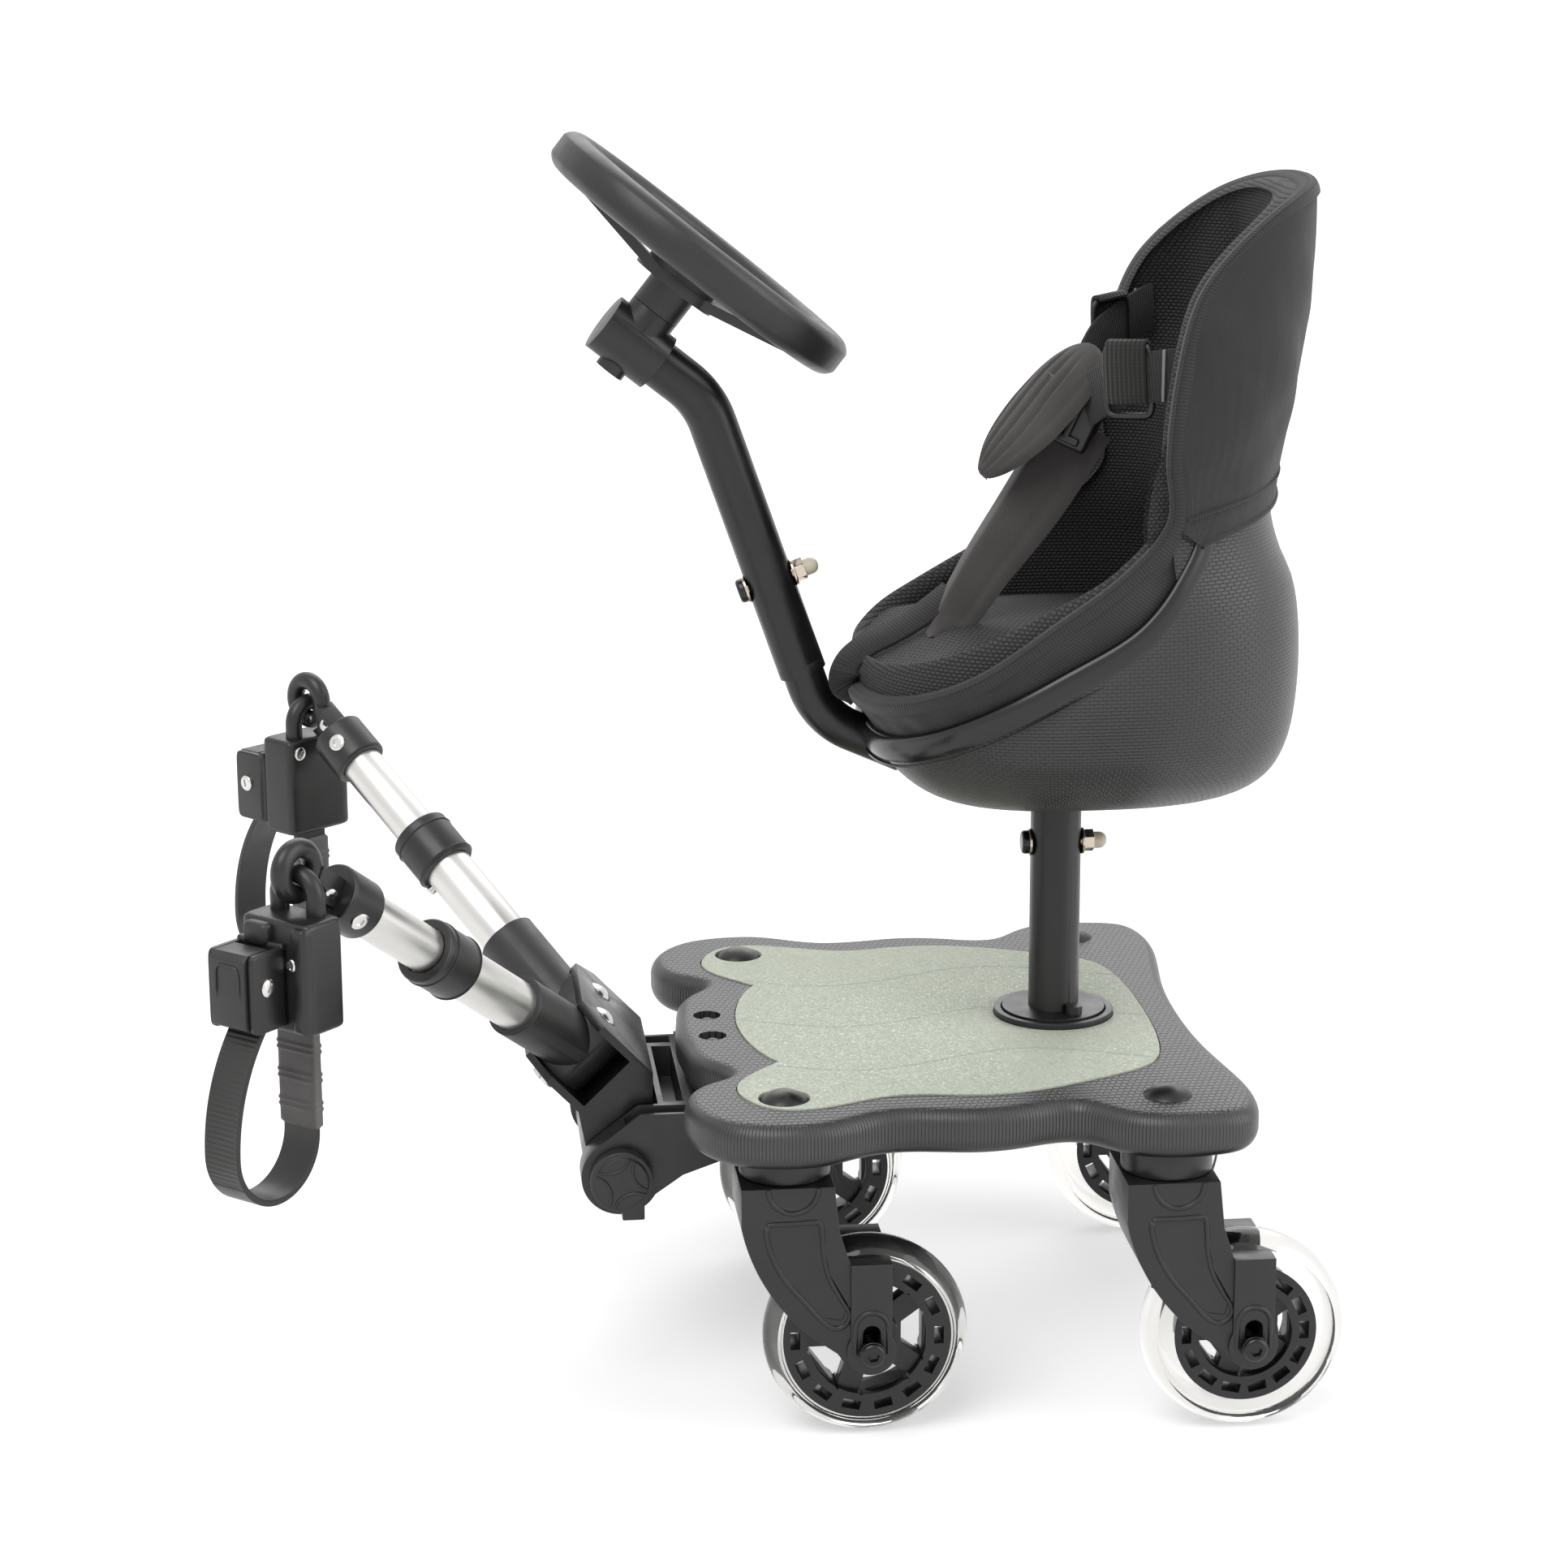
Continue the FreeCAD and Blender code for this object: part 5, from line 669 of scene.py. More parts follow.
def make_shell():
    """The seat's bowl, the band round its rim and the bead below the band."""
    far, rim_far = edge_path(RIM_SHARES, 0.0, 130)
    base_far, _ = fan_base(far, rim_far, *SHELL_FAN)
    angles, rim, base = all_round(far, -1), all_round(rim_far), all_round(base_far, -1)
    floor = SEAT_BASE + BOWL_FOOT
    rows = [seat_points(base, z) for z in SEAT_BASE + np.linspace(0, 1, 16) ** 1.6 * BOWL_FOOT]
    for shares, inset in ((np.linspace(0, 1, 44)[1:], 0.0), (np.linspace(1, 0, 24), 3.0)):
        for share in shares:
            rows.append(seat_points(base + (angles - base) * share, floor + share * (rim - floor), inset))
    rows.append(seat_points(base, SEAT_BASE + 8.0, 6.0))
    bowl = bucket_lengths(Form().capped(rows))
    bowl.piece("shell_bowl", "shell_black", 50, replaces=("seat_shell",))
    edge = seat_points(angles, rim)
    ups = lifted(edge - seat_points(angles, rim, 4.0), edge, -0.4)
    Form().sweep(edge, RIM_BAND, closed=True, ups=ups).piece("shell_rim", "shell_plain", 60)
    low = edge - ups * BEAD_DROP
    Form().sweep(low, RIM_BEAD, closed=True, ups=ups).piece("shell_bead", "shell_plain", 60)
    return far, rim_far


def pad_swell(angles, spots):
    """How far the padded wall swells inwards, with a sewn fold each side of the back."""
    y = np.abs(spots[..., 1])
    back = step(0.15, 0.6, np.cos(angles))
    fade = step(368, 392, spots[..., 2])
    middle = 3.6 * np.clip(1 - (y / 40) ** 2, 0, 1) ** 0.6
    fold = -3.0 * np.exp(-((y - 41) / 4.0) ** 2)
    wing = 6.0 * np.exp(-((y - 56) / 9) ** 2)
    return back * fade * (middle + fold + wing)


def hood_outside(share, turn, z):
    y = seat_points(turn, z, COVER_INSET)[:, 1]
    crease = np.sin(y / 11 + z / 17) * np.sin(z / 26 + y / 31)
    fine = np.sin(y / 5 - z / 7) * np.sin(z / 33)
    return z, COVER_INSET - (1.7 * np.maximum(0, crease) + 0.35 * fine) * math.sin(math.pi * share)


def hood_inside(share, turn, z):
    return z, -0.9


def lip_outside(share, turn, z):
    fold = np.sin(turn * 24 + share * 5) * np.sin(turn * 9 - share * 3)
    inset = np.interp(share, LIP_SHARES, LIP_INSETS) - 0.8 * fold * math.sin(math.pi * share)
    return z - LIP_DROP * (1 - share), inset


def lip_inside(share, turn, z):
    return z - LIP_DROP * (1 - share), np.interp(share, LIP_SHARES, LIP_INSETS) + 2.2


def make_cover(name, look, front, low, top, outside, inside):
    """A cloth band over the bucket from a low to a top far-side line, with its near-side image."""
    low_turn, top_turn = (np.unwrap(both_sides(line[0], front, -1)) for line in (low, top))
    low_z, top_z = both_sides(low[1], front), both_sides(top[1], front) - 0.6
    rows = []
    for shares, shape in ((np.linspace(0, 1, COVER_ROWS), outside), (np.linspace(1, 0, 12), inside)):
        for share in shares:
            turn = low_turn + share * (top_turn - low_turn)
            rows.append(seat_points(turn, *shape(share, turn, low_z + share * (top_z - low_z))))
    rows = np.asarray(rows)
    made = Form().grid(rows, close_v=True, middle=rows.shape[1] // 2)
    made.face(rows[:, 0][::-1])
    made.face(rows[:, -1])
    return made.piece(name, look, 60), rows, (low_turn, low_z, top_turn, top_z)


BINDING_ARCH = [
    (0.03, -5.5), (-0.07, -3.2), (-0.05, -0.4), (0.06, 1.3), (0.25, 2.1), (0.5, 2.3), (0.75, 2.1),
    (0.93, 1.4), (1.03, 0.0), (1.05, -2.2), (1.02, -4.5), (0.9, -3.6), (0.5, -0.6), (0.15, -2.0),
]


def make_liner(shell_far, shell_rim):
    """The padded wall, its binding and seams, the front lip and the hood's cover."""
    columns, last = np.arange(LINER_COLUMNS), LINER_COLUMNS - 1
    far, edge_far = edge_path(EDGE_SHARES, WALL_INSET, LINER_COLUMNS)
    base_far, notch = fan_base(far, edge_far, *LINER_FAN)
    outer_line = edge_path(EDGE_SHARES, COVER_INSET, LINER_COLUMNS)
    outer_notch = fan_base(*outer_line, *LINER_FAN)[1]
    at = np.interp(columns, [0, notch, last], [0, outer_notch, last])
    outer_far, outer_edge_far = (np.interp(at, columns, line) for line in outer_line)
    angles, edge, base = all_round(far, -1), all_round(edge_far), all_round(base_far, -1)
    outer, outer_edge = all_round(outer_far, -1), all_round(outer_edge_far)
    low = np.minimum(LINER_FOOT, edge - 10.0)
    rows = []
    for share in np.linspace(0, 1, 52):
        z = low + share * (edge - low)
        turn = base + (angles - base) * share
        swell = pad_swell(turn, seat_points(turn, z, WALL_INSET)) * (1 - share ** 6)
        rows.append(seat_points(turn, z, WALL_INSET + swell))
    inner_top = rows[-1]
    across = seat_points(outer, outer_edge, COVER_INSET) - inner_top
    width = np.linalg.norm(across, axis=1, keepdims=True)
    across = across / width
    lift = lifted(across, inner_top, -0.5)
    roll = (2.5 + 12.5 * step(165, 75, inner_top[:, 0]))[:, None]
    for share in (0.0, 0.08, 0.2, 0.34, 0.48, 0.6, 0.7):
        rise = math.sin(math.pi * (share + 0.06) / 0.8) ** 0.7
        rows.append(inner_top + across * width * (share - 0.12) + lift * roll * rise)
    for share in np.linspace(1, 0, 16):
        rows.append(seat_points(base + (outer - base) * share, low + share * (outer_edge - 2.5 - low), 4.2))
    wall = bucket_lengths(Form().grid(rows, close_u=True, close_v=True))
    wall.piece("liner_wall", "liner_mesh", 60, replaces=("seat_liner",))

    rows = [inner_top + across * width * (0.42 + 0.58 * part) + lift * rise for part, rise in BINDING_ARCH]
    Form().grid(rows, close_u=True, close_v=True).piece("liner_binding", "binding", 70)
    for number, part, rise in ((1, 0.84, 1.8), (2, 0.97, 0.9)):
        line = inner_top + across * width * part + lift * rise
        made = Form().sweep(line, oval(0.55, 0.55, 8), closed=True, ups=lift)
        made.piece(f"binding_line_{number}", "webbing", 70, slot="liner_mesh")
    half = notch + 8
    seam = inner_top + across * width * 0.5 + lift * 2.3
    seam, ups = (np.concatenate([line[-half:], line[:half]]) for line in (seam, lift))
    stitches(seam, ups).piece("binding_stitches", "thread_dark")

    hem_cut = np.where(shell_rim < HOOD_HEM)[0].max()
    foot_at = np.interp(columns[:notch + 1], [0, notch], [0, hem_cut])
    foot = [np.interp(foot_at, np.arange(len(shell_far)), line) for line in (shell_far, shell_rim + 0.8)]
    top = (outer_far[:notch + 1], outer_edge_far[:notch + 1])
    make_cover("front_lip", "binding", True, foot, top, lip_outside, lip_inside)
    hem_turns = np.interp(columns[notch:], [notch, last], [shell_far[hem_cut], 0.0])
    hem = (hem_turns, HOOD_HEM - 8.0 + 18.0 * (1 - hem_turns / hem_turns[0]) ** 0.7)
    top = (outer_far[notch:], outer_edge_far[notch:])
    hood, rows, bounds = make_cover("hood_cover", "hood_cloth", False, hem, top, hood_outside, hood_inside)
    run = run_of(rows[COVER_ROWS // 2 - 1])[-1] * MM
    rise = run_of(rows[:COVER_ROWS, rows.shape[1] // 2])[-1] * MM
    Form().sweep(rows[0], oval(0.9, 1.3, 10)).piece("hood_hem", "hood_cloth", 70)
    low_turn, low_z, top_turn, top_z = bounds
    height = np.minimum(low_z + 11.5, top_z - 1.5)
    share = (height - low_z) / (top_z - low_z)
    seam = seat_points(low_turn + share * (top_turn - low_turn), height, COVER_INSET - 0.5)
    Form().sweep(seam[3:-3], oval(0.5, 0.9, 8)).piece("hem_seam", "webbing", 70, slot="liner_mesh")
    return far[:notch + 1], edge_far[:notch + 1]


def make_cushion(front_angles, front_edge):
    """The seat pad: crowned, pulled in along its sides and rolled down to the liner's front lip."""
    angles = circle(120)
    turned = np.abs((angles + math.pi) % TURN - math.pi)
    edge = np.interp(turned, front_angles[::-1], front_edge[::-1])
    rimmed = np.minimum(CUSHION_EDGE, edge + 9.0)
    bound = seat_points(angles, rimmed, WALL_INSET + 0.6)
    bound[:, 0] -= 9.0 * step(0.2, 1.0, -np.cos(angles))
    drop = CUSHION_EDGE - rimmed
    centre = np.array([152.0, 0.0, 0.0])
    rows = []
    for radius in np.linspace(0.02, 1, 34):
        row = centre + (bound - centre) * radius
        fall = (CUSHION_TOP - CUSHION_EDGE) * radius ** 2.6
        row[:, 2] = CUSHION_TOP - fall - drop * step(0.45, 1.0, radius) ** 1.3
        rows.append(row)
    for share, tuck in ((0.35, 0.5), (0.7, 1.6), (1.0, 4.0)):
        row = centre + (bound - centre) * (1 - tuck / 100)
        row[:, 2] = rimmed - share * np.minimum(22.0, rimmed - 336.0)
        rows.append(row)
    made = Form().capped(rows).lengths(lambda spot: (0.8 * spot[0], 0.55 * spot[1]))
    made.piece("seat_cushion", "liner_mesh", 70)


def leaning(origin, along, face, lean):
    """A place along a strap, its face turned about the strap towards the near side."""
    along = Vector(along).normalized()
    face = Vector(face)
    face = (face - along * along.dot(face)).normalized()
    near = Vector((0, -1, 0))
    near = (near - along * along.dot(near)).normalized()
    turn = math.radians(lean)
    return axes_place(origin, along, face * math.cos(turn) + near * math.sin(turn))


SLEEVE_LINE = [
    (84, -21, 368), (89, -11, 373.5), (96, -4, 383), (110, 0, 406), (126, 0, 431), (142, 0, 457),
    (154, -2, 478),
]


def sleeve_section(t):
    """The sleeve's section at a share of its length: a thin roof, wider towards the top."""
    half = 3.0 + 11.0 * float(step(0, 0.24, t)) + 7.0 * float(step(0.2, 0.85, t))
    thick = 1.4 + 2.0 * float(step(0.02, 0.25, t))
    upper = []
    lower = []
    for share in np.linspace(-1, 1, 25):
        a = share * half
        swell = max(0.0, 1 - abs(share) ** 6) ** 0.5
        seam = 0.8 * math.exp(-((a - 0.66 * half) / 0.9) ** 2)
        middle = 7.0 - 0.72 * math.sqrt((a + 0.1 * half) ** 2 + 5.0) - seam
        upper.append((a, middle + 0.5 * thick * swell))
        lower.append((a, middle - 0.5 * thick * swell))
    return upper + lower[-2:0:-1]


def make_sleeve():
    """The crotch sleeve: a padded band folded along a crest, with its foot turned out on the cushion."""
    line = smooth_line(SLEEVE_LINE, 7)
    up = np.asarray(leaning((0, 0, 0), (0.51, 0, 0.86), (-0.86, 0, 0.51), 33).col[2][:3])
    ups = np.repeat([up], len(line), 0)
    ups[:10] += np.outer(np.linspace(0.9, 0, 10), (0.2, -0.5, 0.8))
    made = Form().sweep(line, sleeve_section, ups=ups)
    made.piece("crotch_sleeve", "pad_cloth", 60, replaces=("harness_straps",))


FLAP_LENGTH, FLAP_HALF = 42.0, 27.0
FLAP_CHANNELS = (-0.5, -0.18, 0.16, 0.52)
FLAP_COLUMNS = 61


def make_flap():
    """The padded leaf over the buckle, sewn in channels that meet at its tip."""
    place = leaning((136.5, 0.0, 480.5), (0.669, 0.0, 0.743), (-0.743, 0.0, 0.669), 16)
    turns = np.concatenate([np.linspace(-1, 1, FLAP_COLUMNS), np.linspace(1, -1, 25)[1:-1]])
    rows = []
    for s in np.linspace(-1, 1, 73):
        half = FLAP_HALF * (1 - abs(s) ** (1.7 if s < 0 else 3.2)) ** (0.62 if s < 0 else 0.5) + 0.3
        depth = 1.9 * float(step(0.9, 0.4, s)) * float(step(-0.99, -0.8, s))
        ring = []
        for k, v in enumerate(turns):
            body = max(0.0, 1 - abs(v) ** 3.2) ** 0.5 * max(0.0, 1 - abs(s) ** 3.0) ** 0.5
            height = -3.5 * body
            if k < FLAP_COLUMNS:
                height = 9.0 * body
                for channel in FLAP_CHANNELS:
                    swung = channel + 0.1 * math.sin(2.2 * s)
                    height -= depth * math.exp(-((v - swung) * half / 1.3) ** 2)
                height -= 1.5 * math.exp(-((abs(v) - 0.85) * half / 1.1) ** 2) * body
            bend = -(6.0 if v > 0 else 3.0) * v * v
            ring.append(spot_at(place, FLAP_LENGTH * s, half * v, height + bend))
        rows.append(ring)
    Form().capped(rows).piece("buckle_flap", "pad_cloth", 60, replaces=("crotch_pad",))


WEB = [
    (-0.9, -11.6), (-0.9, 11.6), (-0.5, 12.2), (0.5, 12.2), (0.9, 11.6), (0.9, -11.6), (0.5, -12.2),
    (-0.5, -12.2),
]
WEB_FOLD = [
    (17.5, -2.6), (18.9, -1.0), (18.9, 1.6), (17.2, 3.4), (10, 4.0), (0, 3.9), (-8, 3.6), (-10.4, 2.6),
]
LOCK_LIFT = 0.9
WAISTS = (
    (-1, "near", (172.5, -48.0, 501.0), [
        (157, -17, 486), (163, -30, 494), (168, -42, 499.5), (178, -53, 503), (187, -63, 505.5),
        (198, -72, 508),
    ]),
    (1, "far", (181.0, 42.0, 512.0), [
        (157, 8, 489), (163, 20, 498), (172, 33, 507), (184, 45, 513.5), (198, 59, 519), (207, 68, 521),
    ]),
)


def make_waist(side, word, lock_at, points):
    """One waist strap with its ladder lock, the webbing turned over the lock and the liner's slit edge."""
    Form().sweep(smooth_line(points, 8), WEB).piece(f"waist_web_{word}", "webbing", 40)
    way = Vector((0.80, 0.6 * side, 0.06))
    lock = axes_place(lock_at, way, (-0.6, 0.80 * side, 0))
    turn = lock.to_3x3()
    ring = [spot_at(lock, x, y, LOCK_LIFT) for x, y in rounded(12.0, 16.8, 0.3, 48)]
    made = Form().sweep(ring, oval(1.7, 1.5, 10), closed=True, up=tuple(turn.col[2]))
    made.block((22, 3.0, 2.6), lock @ Matrix.Translation((0, 7.0 * side, LOCK_LIFT)), 1.1)
    made.piece(f"waist_lock_{word}", "satin_black", 50)
    down = -1.0 if turn.col[1].z > 0 else 1.0
    fold = smooth_line([spot_at(lock, 0, -y * down, z) for y, z in WEB_FOLD], 5)
    ends = np.vstack([fold[:1], fold, fold[-1:]])
    ups = np.cross(ends[2:] - ends[:-2], np.asarray(turn.col[0]))
    if ups[len(ups) // 2].dot(np.asarray(turn.col[2])) < 0:
        ups = -ups
    made = Form().sweep(fold, [(a * 0.85, b) for b, a in WEB], ups=ups)
    made.uvs = [tuple((b, a) for a, b in corners) for corners in made.uvs]
    made.piece(f"waist_tail_{word}", "webbing_ribs", 40)
    edge = np.asarray(points[-2], float) + np.array([-1.5, 1.5 * side, 0.0])
    trim = Form().block((1.6, 1.2, 25.0), axes_place(edge, way, (0, 0, 1)), 0.5)
    trim.piece(f"slit_edge_{word}", "thread", 40)


# The buckle's blocks: size, place on its plate and rounding.
BUCKLE = (
    ((36, 25, 7), (0, 0, 0), 2.4), ((29, 4.2, 3.4), (0, -1.0, 4.2), 1.1),
    ((4.0, 15, 3.4), (-14.0, -1.0, 4.2), 1.1), ((4.0, 10, 3.4), (14.0, -1.0, 4.2), 1.1),
    ((20, 34, 5), (2.0, 4.0, -4.0), 2.0),
)
TAPE = [(-9, -0.7), (-8.5, -1.1), (8.5, -1.1), (9, -0.7), (9, 0.7), (8.5, 1.1), (-8.5, 1.1), (-9, 0.7)]
TAPE_LINE = [
    (96, 3, 391), (88, 0, 385.5), (76, -4, 378), (63, -8, 372), (52, -10.5, 367.5), (43.5, -12, 361.5),
    (40.0, -13, 355), (41.5, -13.5, 349), (47.0, -14, 345),
]


def make_harness():
    """The crotch sleeve, the padded flap, the buckle under it, the waist straps and the front tape."""
    make_sleeve()
    make_flap()
    plate = axes_place((153.5, -13.0, 481.5), (0.42, 0, 0.907), (-0.3, -0.93, 0.2))
    buckle = Form()
    for size, spot, radius in BUCKLE:
        buckle.block(size, plate @ Matrix.Translation(spot), radius)
    buckle.piece("buckle", "satin_black", 40)
    for waist in WAISTS:
        make_waist(*waist)
    Form().sweep(smooth_line(TAPE_LINE, 6), TAPE, up=(-0.5, -0.42, 0.76)).piece("front_tape", "webbing", 40)


SCREW_STEPS = 24
SCREW_DOME = ((1.0, -0.2), (1.0, 0.45), (0.93, 0.72), (0.8, 0.9), (0.62, 1.0))


def screw(name, origin, normal, radius, body, look="steel", sides=0, height=0.35):
    """A low dome head on a face, its recess a slot or, where it has sides, a polygon."""
    place = axes_place(origin, (0.31, 0.52, 0.79), normal)
    angles = circle(SCREW_STEPS)
    recess = []
    for a in angles:
        if sides:
            half = math.pi / sides
            recess.append(0.5 * radius * math.cos(half) / math.cos(a % (TURN / sides) - half))
        else:
            recess.append(min(0.6 * radius, 0.13 * radius / max(abs(math.sin(a)), 0.05)))
    rings = [([radius * share] * SCREW_STEPS, rise) for share, rise in SCREW_DOME]
    rings += [(recess, 1.0), (recess, 0.25)]
    rows = []
    for reach, rise in rings:
        z = radius * height * rise
        rows.append([spot_at(place, r * math.cos(a), r * math.sin(a), z) for a, r in zip(angles, reach)])
    return Form().capped(rows).piece(name, look, body=body)


SIDES = ((-1, "near"), (1, "far"))
PIVOT = Vector((-76.7, 0.0, 113.7))
FORWARD = Vector((-0.69466, 0.0, 0.71934))
NORMAL = Vector((0.71934, 0.0, 0.69466))
EYE_REACH = 240.0


def arm_place(side):
    """An arm's place: its first axis runs along the arm from the swivel, its third is the hitch normal."""
    swivel = PIVOT + FORWARD * 52.8 + NORMAL * 25.6 + Vector((0, 20.0 * side, 0))
    return axes_place(swivel, (-0.5474, 0.61566 * side, 0.56685), NORMAL)


def clamp_place(side):
    """A clamp's place at the hook's eye: first axis outwards, third up. The far one is a mirror image."""
    x, y = 0.66446, 0.74732
    made = Matrix(((-x, y, 0, 0), (y * side, x * side, 0, 0), (0, 0, 1, 0), (0, 0, 0, 1)))
    made.translation = arm_place(side) @ Vector((EYE_REACH, 0, 0))
    return made


STRAP_BACK, STRAP_LOOP, STRAP_RADIUS, STRAP_SHIFT = -4.5, -124.0, 26.0, -6.75
STRAP_END = (22.0, -61.0)
TOOTH_PITCH, TOOTH_DEPTH = 2.4, 0.55
SLEEVE_MIDDLE, SLEEVE_HALF = -98.5, 24.5
SLEEVE_RIBS = (-0.62, -0.5, -0.06, 0.06, 0.5, 0.62)


def strap_line():
    """The strap's loop in its own plane: down the back, round the foot and up in an arc to the ratchet."""
    flat = [(STRAP_BACK, z) for z in np.linspace(-62.0, STRAP_LOOP, 24)[:-1]]
    middle = STRAP_BACK + STRAP_RADIUS
    for a in np.linspace(math.pi, TURN, 40)[:-1]:
        flat.append((middle + STRAP_RADIUS * math.cos(a), STRAP_LOOP + STRAP_RADIUS * math.sin(a)))
    start = np.array([STRAP_BACK + 2 * STRAP_RADIUS, STRAP_LOOP])
    end = np.array(STRAP_END)
    chord = end - start
    reach = np.linalg.norm(chord)
    rise = reach * math.tan(0.5 * math.atan2(-chord[0], chord[1])) / 2
    arc = (reach * reach / 4 + rise * rise) / (2 * rise)
    centre = (start + end) / 2 + np.array([chord[1], -chord[0]]) / reach * (rise - arc)
    first, last = (math.atan2(p[1] - centre[1], p[0] - centre[0]) for p in (start, end))
    for a in np.linspace(first, last, 36):
        flat.append((centre[0] + arc * math.cos(a), centre[1] + arc * math.sin(a)))
    return np.asarray(flat)


def make_strap(side, word):
    """A clamp's toothed strap and the ribbed sleeve on its back."""
    place = clamp_place(side)
    flat = strap_line()
    run = run_of(flat)
    count = int(run[-1] / 0.6)
    at = np.linspace(0, run[-1], count)
    line = np.stack([np.interp(at, run, flat[:, axis]) for axis in range(2)], 1)
    inside = np.array([STRAP_BACK + STRAP_RADIUS, STRAP_LOOP + 10])
    rows = []
    for k in range(count):
        ahead = line[min(k + 1, count - 1)] - line[max(k - 1, 0)]
        ahead = ahead / np.linalg.norm(ahead)
        out = np.array([-ahead[1], ahead[0]])
        if np.dot(out, line[k] - inside) < 0:
            out = -out
        face = 1.5
        if run[-1] - at[k] < 84 and at[k] > 70:
            face -= TOOTH_DEPTH * abs(((at[k] / TOOTH_PITCH) % 1.0) * 2 - 1)
        section = [(-1.5, -9.6), (-1.5, 9.6), (-1.1, 10.0), (1.1, 10.0), (1.5, 9.6), (face, 8.2),
                   (face, -8.2), (1.5, -9.6), (1.1, -10.0), (-1.1, -10.0)]
        ring = []
        for a, b in section:
            x, z = line[k] + out * a
            ring.append(spot_at(place, x, b + STRAP_SHIFT, z))
        rows.append(ring)
    made = Form().capped(rows)
    made.piece("strap_band_" + word, "strap_black", 30, "clamp_" + word, replaces=("ratchet_strap_" + word,))
    rows = []
    for z in np.linspace(-123.0, -74.0, 99):
        mid = (z - SLEEVE_MIDDLE) / SLEEVE_HALF
        swell = sum(0.75 * math.exp(-((mid - rib) * SLEEVE_HALF / 0.85) ** 2) for rib in SLEEVE_RIBS)
        close = 1.4 * max(0.0, abs(mid) - 0.94) / 0.06
        ring = rounded(3.1 + swell - close * 0.7, 11.6 + swell * 0.6 - close, 0.45, 36, 0.35)
        rows.append([spot_at(place, STRAP_BACK + x, y + STRAP_SHIFT, z) for x, y in ring])
    Form().capped(rows).piece("strap_sleeve_" + word, "sleeve_grey", 40, "clamp_" + word)


# Heights and insets, as shares, of the rings that ease a panel's rim and a slab's end.
PANEL_EASE = ((0.0, 0.0), (0.55, 0.0), (0.82, 0.3), (0.96, 0.65), (1.0, 1.0))
SLAB_EASE = ((0.0, 1.0), (0.12, 0.5), (0.45, 0.12), (1.0, 0.0))


def add_slab(made, at, outline, levels, radius):
    """Adds a slab through levels of height and inset. At gives the place of a point at a height."""
    middle = np.mean(outline, 0)
    size = np.max(np.abs(np.asarray(outline) - middle), 0)
    rings = []
    for level, inset in levels:
        drawn = middle + (np.asarray(outline) - middle) * (1 - inset * radius / size)
        rings.append([at(level, a, b) for a, b in drawn])
    return made.capped(rings)


def raised_panel(at, outline, foot, top, radius):
    levels = [(foot + (top - foot) * rise, inset) for rise, inset in PANEL_EASE]
    return add_slab(Form(), at, outline, levels, radius)


def eased_slab(made, at, outline, low, high, radius):
    levels = [(low + radius * rise, inset) for rise, inset in SLAB_EASE]
    levels += [(high - radius * rise, inset) for rise, inset in SLAB_EASE[::-1]]
    return add_slab(made, at, outline, levels, radius)


def moved(outline, a, b):
    return [(p + a, q + b) for p, q in outline]


CLAMP_NEAR, CLAMP_FAR = -20.5, 7.0
CLAMP_SHELL = [
    (19.4, -21.5), (20.2, -24), (20.2, -60), (19.6, -68), (18.4, -70), (12.4, -70), (11.4, -68),
    (11.8, -60), (13.6, -51), (14.6, -44), (13.8, -36), (11.8, -30), (11.0, -26), (11.4, -22),
    (12.4, -20.6), (18.0, -20.6),
]


def make_clamp(side, word):
    """The clamp's block and its two cheeks, as moulded with round corners, and the lever between them."""
    place = clamp_place(side)

    def upright(level, a, b):
        return spot_at(place, a, b, level)

    def sideways(level, a, b):
        return spot_at(place, a, level, b)

    made = Form()
    eased_slab(made, upright, moved(rounded(11.75, 20.5, 0.22, 64), 4.25, 0), -71.0, -19.0, 2.6)
    cheek = moved(rounded(12.0, 18.5, 0.2, 56), 26.0, -48.5)
    back = moved(rounded(2.4, 19.0, 0.3), 17.0, -47.5)
    slabs = ((cheek, CLAMP_NEAR, -17.1), (cheek, 3.6, CLAMP_FAR), (back, CLAMP_NEAR, CLAMP_FAR))
    for outline, low, high in slabs:
        eased_slab(made, sideways, outline, low, high, 1.0)
    made.piece("clamp_block_" + word, "satin_black", 50, "clamp_" + word, replaces=("clamp_body_" + word,))
    finished("clamp_lever_" + word, "soft_black", 1.8)


def make_clamp_trim(side, word):
    """Panels, frames and screws on a clamp's faces."""
    place = clamp_place(side)
    body = "clamp_" + word
    turn = place.to_3x3()
    out, across = turn.col[0], turn.col[1]

    def at(x, y, z):
        return spot_at(place, x, y, z)

    shell = smooth_line(CLAMP_SHELL + CLAMP_SHELL[:1], 4)[:-1]
    raised_panel(at, shell, 13.0, 18.6, 2.2).piece("clamp_shell_" + word, "satin_black", 50, body)
    tab = moved(rounded(7.4, 5.6, 0.4), -8.5, -26.0)
    raised_panel(at, tab, 15.0, 20.4, 1.8).piece("latch_tab_" + word, "soft_black", 50, body)
    line = [at(40.0 - 0.16 * max(0.0, -z), y + STRAP_SHIFT, z - 47.0) for y, z in rounded(7.0, 11.5, 0.35)]
    edging = Form().sweep(line, bead(0.7, 0.3, -0.5, 0.4, 0.75), closed=True, up=tuple(out))
    edging.piece("lever_frame_" + word, "soft_black", 40, "lever_" + word)
    for name, spot, way, radius in (
        ("pin_end_", (29.0, 7.2, -46.0), across, 4.2),
        ("pin_head_", (29.0, -20.7, -47.0), -across, 4.2),
        ("block_screw_", (16.1, 9.8, -38.5), out, 3.0),
        ("back_screw_", (-7.6, -14.0, -26.0), -out, 3.6),
    ):
        screw(name + word, at(*spot), way, radius, body)


